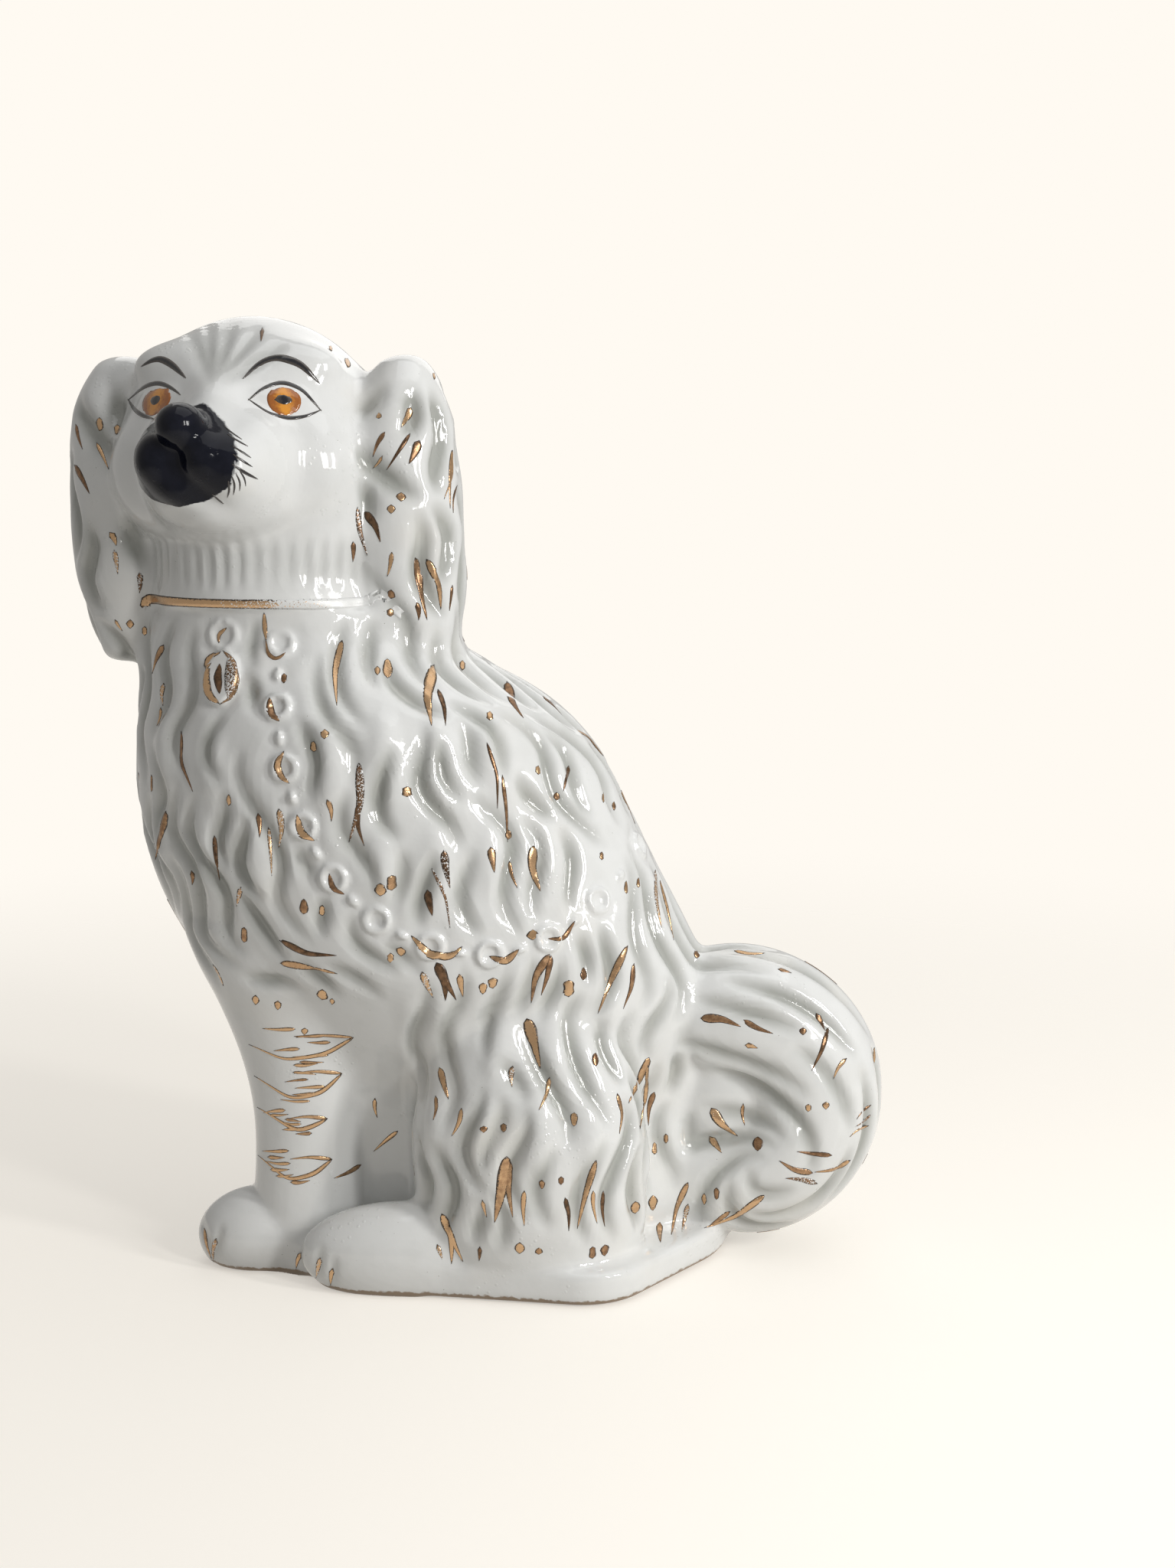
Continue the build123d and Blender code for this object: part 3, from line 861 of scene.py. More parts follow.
def white_ware(finish):
    """Colour of the white glaze, with painted shade in its grooves, and blotches that vary its gloss."""
    # Painted shade: the grooves are darkened towards grey-green, with a little random tone mixed in
    shade_and_tint = finish.sum(finish.value("recess"), finish.noise(9.0), 0.30)
    colour = finish.colours(shade_and_tint, (0.15, WHITE), (1.0, SHADED_GROOVE))
    clouds = finish.between(finish.noise(38.0), 0.52, 0.75, 0.0, 0.45)
    clouded = finish.mixed(clouds, colour, CLOUDED)
    rare = finish.between(finish.noise(7.0), 0.56, 0.62)
    pinholes = finish.times(finish.between(finish.pits(2.6), 0.055, 0.035), rare)
    return finish.mixed(pinholes, clouded, PINHOLE), finish.noise(5.0)


def glazed_clay(name, specular, clear_coat):
    """White glaze with black enamel and bare edges where the mesh says so."""
    finish = Finish(name)
    white, blotches = white_ware(finish)
    brushed = finish.sum(finish.value("paint"), finish.noise(1.6, 4.0), 0.55)
    black = finish.between(brushed, 0.62, 0.92)
    worn = finish.between(finish.sum(finish.value("wear"), finish.noise(2.2, 3.0), 0.7), 0.78, 0.98)
    brushwork = finish.colours(blotches, (0.35, BLACK), (0.7, THIN_BLACK))
    enamelled = finish.mixed(black, white, brushwork)
    finish.drive("Base Color", finish.mixed(worn, enamelled, BARE_CLAY))
    glossy = finish.between(blotches, 0.3, 0.75, 0.05, 0.15)
    finish.drive("Roughness", finish.sum(glossy, worn, 0.5))
    finish.set("Specular IOR Level", specular)
    finish.set("Coat Weight", clear_coat)
    finish.set("Coat Roughness", 0.03)
    uneven = finish.sum(finish.noise(6.0), finish.noise(1.8), 0.2)
    bubbly = finish.between(finish.noise(30.0), 0.54, 0.64)
    bubbles = finish.times(finish.between(finish.pits(2.2), 0.30, 0.12), bubbly)
    finish.bumped(finish.sum(uneven, bubbles, 0.7), 0.12)
    return finish.material


def gilt(name):
    """Worn gold over the white glaze: brown and speckled at its edges."""
    finish = Finish(name)
    white, blotches = white_ware(finish)
    speckle = finish.noise(0.55, 3.0)
    tone = finish.sum(finish.value("tone"), finish.noise(1.6, 3.0), 0.7)
    gold = finish.colours(tone, (0.25, BROWN_GOLD), (0.62, WORN_GOLD), (1.0, BRIGHT_GOLD))
    burnt = finish.between(finish.sum(finish.value("edge"), speckle, 0.9), 1.06, 1.32)
    browned = finish.mixed(burnt, gold, BURNT_GOLD)
    cover = finish.between(finish.sum(finish.value("cover"), speckle, 1.1), 0.98, 1.08)
    finish.drive("Base Color", finish.mixed(cover, white, browned))
    bare_metal = finish.between(burnt, 0.0, 1.0, 0.82, 0.1)
    finish.drive("Metallic", finish.times(cover, bare_metal))
    finish.drive("Roughness", finish.between(blotches, 0.3, 0.75, 0.16, 0.36))
    finish.bumped(speckle, 0.05)
    return finish.material


def enamel(name, middle, rim, mottling):
    """Brushed enamel that changes towards the rim of a mark."""
    finish = Finish(name)
    brushed = finish.sum(finish.value("edge"), finish.noise(mottling, 3.0), 0.7)
    finish.drive("Base Color", finish.colours(brushed, (0.55, middle), (1.0, rim)))
    finish.drive("Roughness", finish.between(finish.noise(2.0), 0.3, 0.75, 0.06, 0.2))
    finish.set("Coat Weight", 0.5)
    finish.set("Coat Roughness", 0.03)
    finish.bumped(finish.noise(1.2), 0.04)
    return finish.material


white_glaze = glazed_clay("white_glaze", 0.5, 0.35)
black_muzzle = glazed_clay("black_muzzle", 0.12, 0.15)
gold_leaf = gilt("gold_leaf")
black_lines = enamel("black_lines", BLACK, (0.07, 0.058, 0.05), 0.9)
amber_iris = enamel("amber_iris", (0.76, 0.31, 0.03), (0.36, 0.11, 0.014), 1.1)

# Enamel on the muzzle: height in the head's axes, reach of the black to the dog's right and left
BLACK_MIDDLE = -5.0             # from the head's middle plane
BLACK_OUTLINE = np.array([
    (-20.5, -5.0, -5.0), (-17.5, 10.0, 8.0), (-13.0, 16.0, 16.5), (-4.6, 20.0, 19.5), (2.0, 18.0, 17.0),
    (7.5, 12.0, 11.5), (12.0, 9.0, 6.5), (15.0, 7.0, 4.0), (18.0, -5.0, -5.0),
])
BLACK_FRONT = (50.0, 56.0)      # how far out of the face the black begins
BLACK_EDGE = (-3.6, 1.0)        # distances inside the outline over which it gathers
WASH_SHARE = 0.42               # grey wash on the flank of the muzzle
WASH_REACH = (55.0, 71.0)
WASH_HEIGHTS = (-15.0, 5.0)
WASH_FADE = 6.0
EDGE_WEAR = 5.0                 # height of the bare line round the foot


def enamel_on_muzzle():
    """Share of black paint at each corner."""
    side, facing, up = head_axes(corners)
    side = side - BLACK_MIDDLE
    heights, to_right, to_left = BLACK_OUTLINE.T
    reach = np.where(side < 0.0, np.interp(up, heights, to_right), np.interp(up, heights, to_left))
    black = ramp(reach - np.abs(side), *BLACK_EDGE) * ramp(facing, *BLACK_FRONT)
    low, high = WASH_HEIGHTS
    band = ramp(up, low, low + WASH_FADE) * fall(up, high - WASH_FADE, high)
    wash = WASH_SHARE * ramp(facing, *WASH_REACH) * band
    paint = np.maximum(black, wash)
    paint[~in_group("muzzle", "nose", "head")] = 0.0
    return paint


paint = enamel_on_muzzle()
wear = 1.0 - ramp(corners[:, 2], 0.0, EDGE_WEAR)

# Skins of the clay pieces
quad_group = corner_group[quads[:, 0]]
quad_middle = corners[quads].mean(axis=1)
left_half = quad_middle[:, 1] < 0
front_half = head_axes(quad_middle)[1] > 0


def piece_quads():
    """Quads of each clay piece, by the node that it stands for."""
    pieces = {group: quad_group == number for group, number in GROUP_NUMBER.items()}
    body = pieces.pop("body")
    pieces["left_body_shell"] = body & left_half
    pieces["right_body_shell"] = body & ~left_half
    head = pieces.pop("head")
    pieces["face_shell"] = head & front_half
    pieces["head_back_shell"] = head & ~front_half
    pieces["base_slab"] = pieces.pop("plinth")
    pieces["neck_ruff"] = pieces.pop("ruff")
    return pieces


BLACK_PIECES = ("muzzle", "nose")
for node, chosen in piece_quads().items():
    points, faces, directions, source = shell_of(chosen)
    thing = mesh_object(
        node + "_skin", points, faces, directions,
        recess=recess[source], paint=paint[source], wear=wear[source])
    if node in BLACK_PIECES:
        dress(thing, black_muzzle, "black_enamel", node)
    else:
        dress(thing, white_glaze, "white_glaze", node)

# Marks painted on the glaze
MARK_LIFT = 0.20
MARK_SINK = 0.45
MARK_THINNING = 0.85            # share of the lift that is lost at the sides of a mark
ware = Skin(corners, quads)


def ware_at(point):
    """Nearest place on the glaze and the smooth normal there."""
    place, _, face = ware.nearest(point)
    normal = normals[quads[face]].mean(axis=0)
    return place, normal / np.linalg.norm(normal)


class Marks:
    """Brush marks that lie on the glaze, gathered for one mesh."""

    def __init__(self):
        self.points = []
        self.faces = []
        self.values = {"edge": [], "tone": [], "cover": []}
        self.count = 0

    def add(self, path, half_widths, tone=0.5, cover=1.0, columns=5):
        """One closed brush mark along a path, with a half width at each point of it."""
        path = np.asarray(path)
        rows = len(path)
        if rows < 3:
            return
        ahead = np.gradient(path, axis=0)
        shares = np.linspace(-1.0, 1.0, columns)
        top = np.empty((rows, columns, 3))
        sunk = np.empty((rows, columns, 3))
        for row in range(rows):
            sideways = np.cross(ware_at(path[row])[1], ahead[row])
            sideways /= max(np.linalg.norm(sideways), 1e-6)
            for column, share in enumerate(shares):
                place, normal = ware_at(path[row] + sideways * half_widths[row] * share)
                top[row, column] = place + normal * MARK_LIFT * (1.0 - MARK_THINNING * share * share)
                sunk[row, column] = place - normal * MARK_SINK
        index = np.arange(rows * columns).reshape(rows, columns)
        low = index + rows * columns
        around = (index[:-1, :-1], index[1:, :-1], index[1:, 1:], index[:-1, 1:])
        grid = np.stack(around, axis=-1).reshape(-1, 4)
        walls = [
            np.stack((index[:-1, 0], low[:-1, 0], low[1:, 0], index[1:, 0]), axis=-1),
            np.stack((index[1:, -1], low[1:, -1], low[:-1, -1], index[:-1, -1]), axis=-1),
            np.stack((index[0, :-1], index[0, 1:], low[0, 1:], low[0, :-1]), axis=-1),
            np.stack((index[-1, 1:], index[-1, :-1], low[-1, :-1], low[-1, 1:]), axis=-1),
        ]
        faces = np.concatenate((grid, grid[:, ::-1] + rows * columns, *walls)) + self.count
        along = np.abs(np.linspace(-1.0, 1.0, rows)) ** 4
        edge = np.maximum(np.abs(shares)[None, :], along[:, None]).ravel()
        self.points += [top.reshape(-1, 3), sunk.reshape(-1, 3)]
        self.faces.append(faces)
        self.values["edge"] += [edge, np.ones(rows * columns)]
        self.values["tone"].append(np.full(2 * rows * columns, tone))
        covers = np.broadcast_to(np.asarray(cover, float).reshape(-1, 1), (rows, columns)).ravel()
        self.values["cover"] += [covers, covers]
        self.count += 2 * rows * columns

    def piece(self, name, material, slot, *nodes):
        """The marks as one piece."""
        values = {label: np.concatenate(numbers) for label, numbers in self.values.items()}
        thing = mesh_object(name, np.concatenate(self.points), np.concatenate(self.faces), **values)
        dress(thing, material, slot, *nodes)


COMMA_HEAD = 0.28               # share of a comma's length that its round head takes
THINNEST = 0.06                 # half width of a stroke where it ends


def comma(count, width):
    """Half widths of a stroke with a round head and a long tail."""
    share = np.linspace(0.0, 1.0, count)
    head = np.sqrt(np.clip(1.0 - (1.0 - share / COMMA_HEAD) ** 2, 0.0, 1.0))
    tail = np.clip((1.0 - share) / (1.0 - COMMA_HEAD), 0.0, 1.0) ** 0.75
    return THINNEST + width / 2 * np.where(share < COMMA_HEAD, head, tail)


def oval(count, width):
    """Half widths of a round or oval touch."""
    share = np.linspace(-1.0, 1.0, count)
    ripple = 1.0 + 0.18 * np.sin(RANDOM.uniform(2.0, 5.0) * share + RANDOM.uniform(0.0, 2.0 * math.pi))
    return THINNEST + width / 2 * np.sqrt(1.0 - share * share) * ripple


def spindle(count, width):
    """Half widths of a line that thins to both ends."""
    return 0.08 + width / 2 * np.sin(math.pi * np.linspace(0.0, 1.0, count)) ** 0.7


# Eyes
def touch(node, growth, stretch, columns):
    """An oval touch of enamel that stands for a node on an eye, grown and stretched sideways."""
    low, high = node_box(node)
    middle = (low + high) / 2
    radius = growth * (high[2] - low[2]) / 2
    heights = np.cos(np.linspace(0.0, math.pi, 2 * columns)) * radius
    path = [ware_at(middle + UP * height)[0] for height in heights]
    half_widths = 0.05 + stretch * np.sqrt(np.clip(radius * radius - heights * heights, 0.0, None))
    return path, half_widths


# Each eye's side, how much wider than high its iris and its pupil are
EYES = [("left", 1.0, 1.7), ("right", 1.3, 1.6)]
IRIS_GROWTH = 1.16
IRIS_COLUMNS = 13               # points across the iris
PUPIL_COLUMNS = 7
PUPIL_LIFT = 0.12               # of the pupil over the iris
for side, iris_stretch, pupil_stretch in EYES:
    iris = Marks()
    iris.add(*touch(side + "_iris", IRIS_GROWTH, iris_stretch, IRIS_COLUMNS), columns=IRIS_COLUMNS)
    iris.piece(side + "_iris_enamel", amber_iris, "amber_enamel", side + "_iris")
    pupil = Marks()
    pupil.add(*touch(side + "_pupil", 1.0, pupil_stretch, PUPIL_COLUMNS), columns=PUPIL_COLUMNS)
    pupil.points = [points + head_facing * PUPIL_LIFT for points in pupil.points]
    pupil.piece(side + "_pupil_enamel", black_lines, "black_enamel", side + "_pupil")

# Brows, outlines of the eyes and whiskers: pixels, width in pixels
FACE_LINES = [
    ([(184, 479), (196, 471), (209, 467), (226, 477), (243, 494)], 8.5),
    ([(317, 495), (334, 478), (351, 468), (366, 466), (393, 475), (418, 501)], 10.0),
    ([(236, 516), (224, 506), (206, 499), (187, 505), (167, 523)], 6.0),
    ([(167, 521), (173, 532), (181, 540), (191, 545), (201, 547)], 5.2),
    ([(324, 523), (344, 506), (369, 498), (395, 508), (420, 537)], 5.8),
    ([(420, 535), (400, 544), (376, 547), (350, 539), (324, 521)], 4.8),
    ([(297, 567), (311, 576), (324, 583)], 2.6),
    ([(303, 582), (316, 590), (328, 598)], 2.6),
    ([(304, 593), (317, 602), (330, 610)], 2.6),
    ([(303, 606), (319, 617), (337, 626)], 3.4),
    ([(277, 645), (284, 652), (292, 658)], 2.4),
    ([(298, 628), (300, 640), (297, 650)], 2.2),
    ([(303, 622), (307, 634), (305, 646)], 2.2),
    ([(308, 618), (314, 630), (313, 641)], 1.8),
    ([(313, 615), (320, 625), (321, 635)], 1.8),
    ([(292, 556), (304, 566), (316, 574)], 2.2),
]
face_lines = Marks()
for pixels, width in FACE_LINES:
    path = drawn(ware, pixels, LINE_STEP)
    face_lines.add(path, spindle(len(path), width / PIXELS_PER_MM))
face_lines.piece("brow_and_eye_lines", black_lines, "black_enamel")

# Gilt collar: turn about the neck in degrees, how much of the gold is left
COLLAR_GOLD = np.array([
    (0, 0.0), (140, 0.0), (158, 0.9), (246, 1.0), (253, 0.62),
    (272, 0.55), (279, 0.36), (300, 0.30), (306, 0.0), (360, 0.0),
])
COLLAR_POINTS = 240
collar_low, collar_high = node_box("collar")
collar_radius = (collar_high[0] - collar_low[0]) / 2
turns = np.linspace(0.0, 360.0, COLLAR_POINTS)
around = np.column_stack((np.cos(np.radians(turns)), np.sin(np.radians(turns)), np.zeros(COLLAR_POINTS)))
collar_line = [ware_at(neck_axis + away * collar_radius)[0] for away in around]
collar_marks = Marks()
collar_marks.add(
    collar_line, np.full(COLLAR_POINTS, (collar_high[2] - collar_low[2]) / 2), 0.75,
    np.interp(turns, COLLAR_GOLD[:, 0], COLLAR_GOLD[:, 1]))
collar_marks.piece("collar_gilding", gold_leaf, "gilding", "collar")

# Gold on padlock and chain: pixels, width in pixels, tone, how much is left
LOCK_STROKES = [
    ([(289, 851), (274, 858), (266, 884), (271, 908), (287, 919)], 15.0, 0.8, 1.0),
    ([(287, 920), (303, 911), (311, 886), (304, 861), (291, 850)], 9.0, 0.4, 0.6),
    ([(299, 858), (302, 885), (298, 912)], 17.0, 0.1, 0.5),
    ([(287, 867), (285, 884), (287, 906)], 11.0, 0.05, 1.0),
    ([(286, 840), (285, 829), (296, 820)], 5.0, 0.6, 1.0),
    ([(345, 800), (346, 822), (348, 836)], 6.0, 0.7, 1.0),
]
CHAIN_STROKES = [
    ([(347, 835), (350, 856), (362, 862), (373, 852)], 5.0, 0.4, 0.8),
    ([(352, 911), (353, 932), (365, 942)], 10.0, 0.3, 1.0),
    ([(371, 981), (361, 998), (366, 1014), (378, 1023)], 9.0, 0.6, 1.0),
    ([(388, 1064), (393, 1090), (411, 1098)], 10.0, 0.75, 0.85),
    ([(430, 1141), (434, 1161), (450, 1168)], 7.0, 0.2, 1.0),
    ([(537, 1222), (561, 1248), (590, 1250), (604, 1236)], 11.0, 1.0, 1.0),
    ([(639, 1249), (660, 1257), (678, 1240)], 10.0, 0.5, 1.0),
    ([(716, 1226), (736, 1227), (751, 1203)], 6.0, 0.3, 1.0),
]


def gold_on(name, strokes, *nodes):
    """A piece of gold strokes drawn over pixels."""
    marks = Marks()
    for pixels, width, tone, left in strokes:
        path = drawn(ware, pixels, LINE_STEP)
        marks.add(path, spindle(len(path), width / PIXELS_PER_MM), tone, left)
    marks.piece(name, gold_leaf, "gilding", *nodes)


gold_on("padlock_gilding", LOCK_STROKES)
gold_on("chain_gilding", CHAIN_STROKES)

# Gold commas on the coat: pixel of head, pixel of tail, width in pixels
COMMAS = [
    (214, 842, 199, 880, 9), (214, 892, 213, 922, 7), (210, 924, 205, 948, 5), (237, 955, 252, 1034, 9),
    (217, 1059, 203, 1123, 15), (280, 1091, 287, 1150, 6), (337, 1062, 339, 1094, 7),
    (364, 1056, 364, 1108, 9), (351, 1080, 355, 1144, 5), (427, 1044, 433, 1073, 7),
    (469, 996, 456, 1100, 11), (467, 1051, 476, 1105, 7), (447, 836, 440, 922, 10),
    (567, 868, 564, 948, 15), (572, 900, 582, 948, 7), (558, 1162, 565, 1196, 13),
    (580, 1110, 588, 1160, 11), (315, 1158, 309, 1184, 7), (250, 1137, 251, 1156, 6),
    (564, 1134, 588, 1212, 4), (365, 1228, 440, 1248, 10), (366, 1258, 441, 1272, 11),
    (551, 1269, 566, 1303, 10), (570, 1257, 582, 1307, 14), (572, 1258, 596, 1306, 11),
    (600, 1272, 605, 1302, 9), (718, 1246, 694, 1310, 11), (720, 1248, 707, 1300, 9),
    (688, 1330, 706, 1396, 17), (820, 1235, 781, 1324, 10), (828, 1258, 814, 1318, 8),
    (656, 1012, 663, 1100, 5), (697, 1104, 706, 1164, 15), (665, 1124, 676, 1160, 5),
    (641, 1106, 646, 1140, 11), (636, 970, 650, 1056, 5), (743, 1000, 736, 1034, 7),
    (662, 890, 684, 938, 13), (856, 1136, 864, 1212, 9), (862, 1150, 880, 1228, 5),
    (574, 1394, 586, 1436, 10), (670, 1392, 669, 1420, 8), (718, 1407, 704, 1450, 6),
    (848, 1381, 821, 1441, 14), (846, 1390, 836, 1474, 7), (855, 1426, 847, 1470, 9),
    (806, 1428, 809, 1481, 8), (603, 1447, 590, 1484, 7), (569, 1431, 566, 1463, 6),
    (662, 1510, 646, 1597, 19), (667, 1517, 670, 1590, 10), (630, 1567, 636, 1590, 6),
    (685, 1555, 685, 1601, 7), (577, 1585, 590, 1651, 12), (586, 1600, 605, 1648, 9),
    (571, 1625, 578, 1645, 6), (627, 1628, 626, 1647, 6), (738, 1564, 743, 1608, 8),
    (779, 1515, 754, 1605, 9), (775, 1555, 780, 1598, 7), (788, 1555, 790, 1602, 6),
    (899, 1544, 877, 1613, 9), (899, 1572, 891, 1609, 7), (862, 1596, 863, 1623, 9),
    (915, 1330, 968, 1341, 12), (971, 1332, 1010, 1350, 8), (959, 1242, 999, 1245, 8),
    (1016, 1266, 1034, 1271, 7), (1082, 1342, 1060, 1399, 7), (1066, 1323, 1078, 1347, 8),
    (1106, 1382, 1089, 1409, 6), (973, 1365, 990, 1369, 8), (929, 1447, 964, 1484, 14),
    (927, 1484, 943, 1506, 10), (971, 1441, 973, 1470, 5), (1087, 1509, 1041, 1504, 7),
    (1111, 1515, 1064, 1531, 8), (1062, 1532, 1018, 1516, 9), (1068, 1546, 1026, 1539, 8),
    (999, 1561, 920, 1604, 10), (954, 1582, 925, 1603, 8), (1138, 1443, 1119, 1462, 4),
    (1137, 1456, 1117, 1472, 4), (1135, 1470, 1110, 1485, 4), (537, 532, 524, 558, 12),
    (503, 564, 487, 597, 6), (500, 595, 487, 612, 4), (536, 566, 505, 614, 5), (548, 575, 534, 606, 12),
    (590, 588, 580, 652, 5), (591, 588, 588, 664, 8), (597, 634, 592, 670, 5), (467, 662, 480, 726, 8),
    (476, 668, 497, 708, 11), (461, 707, 461, 734, 7), (512, 721, 506, 753, 6), (542, 728, 558, 810, 14),
    (557, 730, 576, 796, 11), (544, 786, 547, 810, 8), (591, 764, 587, 798, 6), (99, 554, 108, 587, 6),
    (97, 607, 117, 645, 10), (126, 578, 142, 613, 5), (143, 695, 152, 713, 9), (149, 718, 154, 750, 7),
    (182, 747, 182, 775, 8), (150, 809, 160, 824, 5), (343, 428, 341, 446, 5), (490, 1434, 493, 1460, 6),
    (520, 1477, 488, 1504, 6), (472, 1521, 436, 1539, 7), (394, 1636, 387, 1657, 7),
    (419, 1642, 412, 1674, 8), (435, 1656, 432, 1679, 7), (267, 1604, 278, 1648, 6),
    (283, 1617, 279, 1648, 8),
]
# Gold touches: pixel, width and height in pixels
TOUCHES = [
    (299, 1045, 8, 15), (424, 959, 11, 13), (410, 975, 11, 14), (371, 886, 8, 13), (506, 873, 13, 25),
    (493, 876, 7, 12), (532, 1034, 14, 14), (497, 1162, 15, 17), (512, 1153, 16, 20), (397, 1184, 11, 20),
    (421, 1189, 9, 14), (319, 1221, 11, 20), (524, 1243, 12, 12), (510, 1251, 9, 13), (334, 1306, 9, 13),
    (363, 1313, 9, 12), (421, 1299, 14, 14), (434, 1308, 6, 8), (696, 1221, 15, 14), (644, 1284, 13, 14),
    (631, 1291, 10, 15), (743, 1291, 15, 22), (762, 1272, 10, 17), (604, 869, 8, 13), (640, 935, 9, 12),
    (703, 1006, 10, 12), (727, 1040, 9, 11), (664, 1090, 9, 13), (786, 1118, 7, 11), (818, 1159, 7, 17),
    (834, 1153, 6, 13), (788, 1042, 6, 13), (802, 1053, 6, 12), (170, 815, 9, 12), (189, 824, 8, 12),
    (198, 1023, 7, 22), (778, 1384, 9, 18), (750, 1462, 10, 18), (632, 1475, 10, 9), (658, 1473, 9, 12),
    (855, 1500, 11, 16), (870, 1487, 7, 13), (708, 1547, 8, 12), (733, 1542, 8, 11), (679, 1630, 11, 15),
    (704, 1634, 9, 9), (774, 1636, 10, 16), (790, 1633, 12, 15), (830, 1577, 12, 16), (853, 1571, 12, 20),
    (920, 1566, 7, 15), (936, 1559, 8, 16), (910, 1247, 9, 10), (1049, 1347, 9, 10), (990, 1494, 13, 19),
    (1056, 1447, 9, 10), (1079, 1444, 9, 10), (1142, 1378, 6, 20), (524, 649, 11, 12), (511, 665, 10, 12),
    (511, 776, 12, 12), (510, 800, 11, 11), (567, 490, 6, 12), (454, 474, 9, 12), (495, 543, 7, 8),
    (130, 554, 13, 18), (153, 561, 8, 13), (398, 1347, 8, 9), (395, 424, 5, 6), (432, 455, 5, 6),
]
BEND = 0.12                     # how far a comma bows, as a share of its length
quad_node = np.empty(len(quads), object)
for node, chosen in piece_quads().items():
    quad_node[chosen] = node
gilding = {}
gold_spacing = Spacing(14.0)


def gild(path, half_widths, tone, left=1.0):
    """One stroke of gold, kept with the clay piece that carries it."""
    if len(path) < 3:
        return
    node = quad_node[ware.nearest(path[len(path) // 2])[2]]
    gilding.setdefault(node, Marks()).add(path, half_widths, tone, left)
    gold_spacing.add(path[::3])


def worn_share():
    """How much of a stroke is left: most are whole and a few are rubbed."""
    return RANDOM.choice((1.0, 1.0, 1.0, 0.72, 0.55))


for column, row, end_column, end_row, width in COMMAS:
    bow = RANDOM.uniform(-BEND, BEND)
    middle_column = (column + end_column) / 2 - (end_row - row) * bow
    middle_row = (row + end_row) / 2 + (end_column - column) * bow
    path = drawn(ware, [(column, row), (middle_column, middle_row), (end_column, end_row)])
    gild(path, comma(len(path), width / PIXELS_PER_MM), RANDOM.uniform(0.0, 1.0), worn_share())
for column, row, width, height in TOUCHES:
    ends = [(column, row - height / 2), (column, row), (column, row + height / 2)]
    path = drawn(ware, ends, TOUCH_STEP)
    gild(path, oval(len(path), width / PIXELS_PER_MM), RANDOM.uniform(0.2, 1.0))

# Loops of gold round the foreleg with fine strokes in them: left end, lowest point, right tip
LEG_LOOPS = [
    ((325, 1364), (372, 1385), (462, 1355)), ((332, 1405), (380, 1436), (447, 1402)),
    ((336, 1446), (388, 1478), (428, 1461)), ((334, 1506), (376, 1542), (434, 1514)),
]
LOOP_STROKES = 6
UNDER_WIDTH = 6.5               # of a loop's lower line, in pixels
OVER_WIDTH = 5.5
FINE_WIDTHS = (3.6, 6.0)
for (left, left_row), (low, low_row), (right, right_row) in LEG_LOOPS:
    span = right - left
    tip = (right, right_row)
    under = drawn(ware, [tip, (0.4 * low + 0.6 * right, low_row - 8), (low, low_row), (left, left_row)])
    gild(under, comma(len(under), UNDER_WIDTH / PIXELS_PER_MM), 0.7)
    over = drawn(ware, [tip, (right - 0.3 * span, right_row - 3), (right - 0.55 * span, right_row)])
    gild(over, comma(len(over), OVER_WIDTH / PIXELS_PER_MM), 0.6)
    for row in np.linspace(right_row - 11, low_row + 2, LOOP_STROKES):
        head = left + span * RANDOM.uniform(0.38, 0.82)
        tail = head - span * RANDOM.uniform(0.22, 0.36)
        if RANDOM.random() < 0.3:
            head, tail = tail, head
        tail_end = (tail, row + RANDOM.uniform(-3, 4))
        stroke = drawn(ware, [(head, row), ((head + tail) / 2, row + 1), tail_end], LINE_STEP)
        width = RANDOM.uniform(*FINE_WIDTHS) / PIXELS_PER_MM
        gild(stroke, comma(len(stroke), width), RANDOM.uniform(0.4, 0.9))

# Gold on the sides that the photograph does not show
UNSEEN_STROKES = 170
UNSEEN_SPACING = 13.5
UNSEEN_LENGTHS = (4.0, 17.0)
UNSEEN_WIDTHS = (1.6, 3.4)
COMMA_POINTS = 7                # a path of more points than this is a comma, not a touch
FURRY = 0.7                     # share of full fur where gold is put
GRAZING = 0.12                  # cosine of sight below which the skin counts as hidden
SIGHT_SLACK = 3.0               # distance within which a ray has met the place it was sent to


def out_of_sight(place, normal):
    """True where the photograph doesn't show the skin."""
    toward = eye_point - place
    if normal @ toward < GRAZING * np.linalg.norm(toward):
        return True
    hit = ware.struck(eye_point, -toward)
    return hit is not None and np.linalg.norm(hit[0] - place) > SIGHT_SLACK


unseen = 0
for corner in RANDOM.permutation(np.flatnonzero(coat > FURRY)):
    start = corners[corner]
    if unseen == UNSEEN_STROKES:
        break
    if not gold_spacing.is_free(start, UNSEEN_SPACING) or not out_of_sight(start, normals[corner]):
        continue
    path = np.array(traced(start, RANDOM.uniform(*UNSEEN_LENGTHS), False))
    if len(path) > 3:
        shape = comma if len(path) > COMMA_POINTS else oval
        half_widths = shape(len(path), RANDOM.uniform(*UNSEEN_WIDTHS))
        gild(path, half_widths, RANDOM.uniform(0.0, 1.0), worn_share())
        unseen += 1
for node, marks in gilding.items():
    marks.piece(node + "_gilding", gold_leaf, "gilding")

# Camera
camera = bpy.data.objects.new("camera", bpy.data.cameras.new("camera"))
bpy.context.scene.collection.objects.link(camera)
camera.location = CAMERA_PLACE
camera.rotation_euler = (math.radians(90.0) - PITCH, 0.0, 0.0)
camera.data.sensor_fit = "VERTICAL"
camera.data.sensor_height = SENSOR_HEIGHT
camera.data.lens = SENSOR_HEIGHT * FOCAL_PIXELS / IMAGE_HEIGHT
bpy.context.scene.camera = camera
bpy.context.scene.view_settings.view_transform = "Standard"

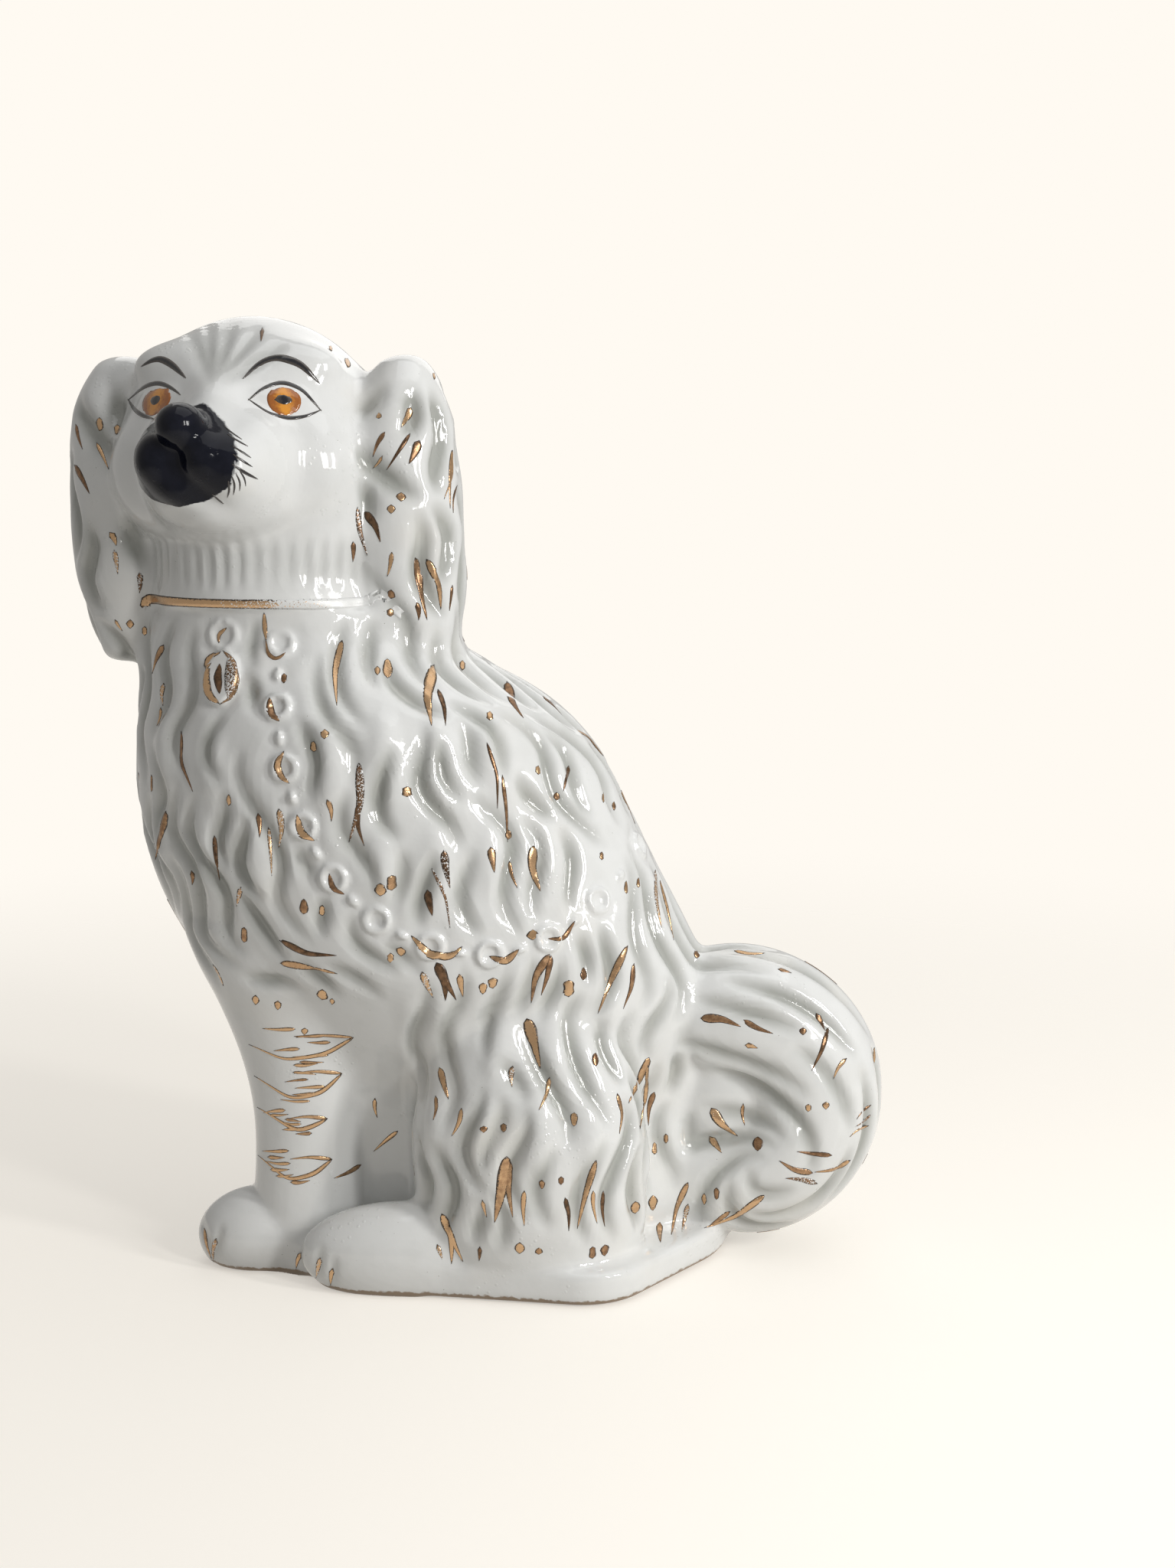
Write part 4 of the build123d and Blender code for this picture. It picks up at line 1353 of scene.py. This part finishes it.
# Floor that gives way to the plain cream background
FLOOR_FADE = (0.25, 0.80)       # distances from the dog, m
FLOOR_GLOW = 0.46               # part of the floor's cream that the camera sees without light
FLOOR_COLOUR = (0.66, 0.635, 0.59, 1.0)
FLOOR_REACH = 3.0               # m to each side
CREAM = (1.0, 0.956, 0.888, 1.0)
floor_mesh = bpy.data.meshes.new("floor")
floor_corners = [(x * FLOOR_REACH, y * FLOOR_REACH, 0.0) for x, y in ((-1, -1), (1, -1), (1, 1), (-1, 1))]
floor_mesh.from_pydata(floor_corners, [], [(0, 1, 2, 3)])
floor = bpy.data.objects.new("floor", floor_mesh)
bpy.context.scene.collection.objects.link(floor)
floor_finish = Finish("cream_floor")
floor_finish.set("Roughness", 0.9)
floor_finish.set("Specular IOR Level", 0.0)
floor_finish.set("Base Color", FLOOR_COLOUR)
floor_finish.set("Emission Color", CREAM)
rays = floor_finish.node("ShaderNodeLightPath")
shown = floor_finish.sum(rays.outputs["Is Camera Ray"], rays.outputs["Is Glossy Ray"])
floor_finish.drive("Emission Strength", floor_finish.between(shown, 0.0, 1.0, 0.0, FLOOR_GLOW))
distance = floor_finish.node("ShaderNodeVectorMath", operation="LENGTH")
floor_finish.link(floor_finish.place, distance.inputs[0])
floor_finish.drive("Alpha", floor_finish.between(distance.outputs["Value"], *FLOOR_FADE, 1.0, 0.0))
floor.data.materials.append(floor_finish.material)

# Studio light: two tall panes at the right, a broad light overhead and a weak one behind
DOG_MIDDLE = Vector((0.0, 0.0, 0.16))
PANE = (0.11, 0.40)             # width and height, m
WARM = (1.0, 0.99, 0.97)
COOL = (0.98, 0.99, 1.0)
SKY = (1.0, 0.98, 0.95, 1.0)
SKY_STRENGTH = 0.27
REFLECTED = 0.25                # share of the cream background that the glaze reflects


def lamp(name, place, size, energy, colour):
    """A rectangular soft light that looks at the dog."""
    light = bpy.data.lights.new(name, "AREA")
    light.shape = "RECTANGLE"
    light.size, light.size_y = size
    light.energy = energy
    light.color = colour
    thing = bpy.data.objects.new(name, light)
    thing.location = place
    thing.rotation_euler = (DOG_MIDDLE - Vector(place)).to_track_quat("-Z", "Y").to_euler()
    bpy.context.scene.collection.objects.link(thing)


lamp("left_pane", (0.68, -0.76, 0.50), PANE, 3.4, WARM)
lamp("right_pane", (0.88, -0.52, 0.50), PANE, 4.2, WARM)
lamp("top_light", (0.30, 0.0, 1.30), (1.0, 1.0), 3.0, COOL)
lamp("back_light", (0.10, 0.90, 0.85), (1.0, 0.8), 2.2, WARM)

# World: soft sky light, with the cream background in sight and in part in the reflections
world = bpy.data.worlds.new("world")
bpy.context.scene.world = world
world.use_nodes = True
world_nodes = world.node_tree.nodes
connect = world.node_tree.links.new
sky = world_nodes["Background"]
sky.inputs["Color"].default_value = SKY
sky.inputs["Strength"].default_value = SKY_STRENGTH
backdrop = world_nodes.new("ShaderNodeBackground")
backdrop.inputs["Color"].default_value = CREAM
sky_rays = world_nodes.new("ShaderNodeLightPath")
seen = world_nodes.new("ShaderNodeMath")
seen.operation = "MULTIPLY_ADD"
seen.inputs[1].default_value = REFLECTED
choice = world_nodes.new("ShaderNodeMixShader")
connect(sky_rays.outputs["Is Glossy Ray"], seen.inputs[0])
connect(sky_rays.outputs["Is Camera Ray"], seen.inputs[2])
connect(seen.outputs["Value"], choice.inputs["Fac"])
connect(sky.outputs["Background"], choice.inputs[1])
connect(backdrop.outputs["Background"], choice.inputs[2])
connect(choice.outputs["Shader"], world_nodes["World Output"].inputs["Surface"])
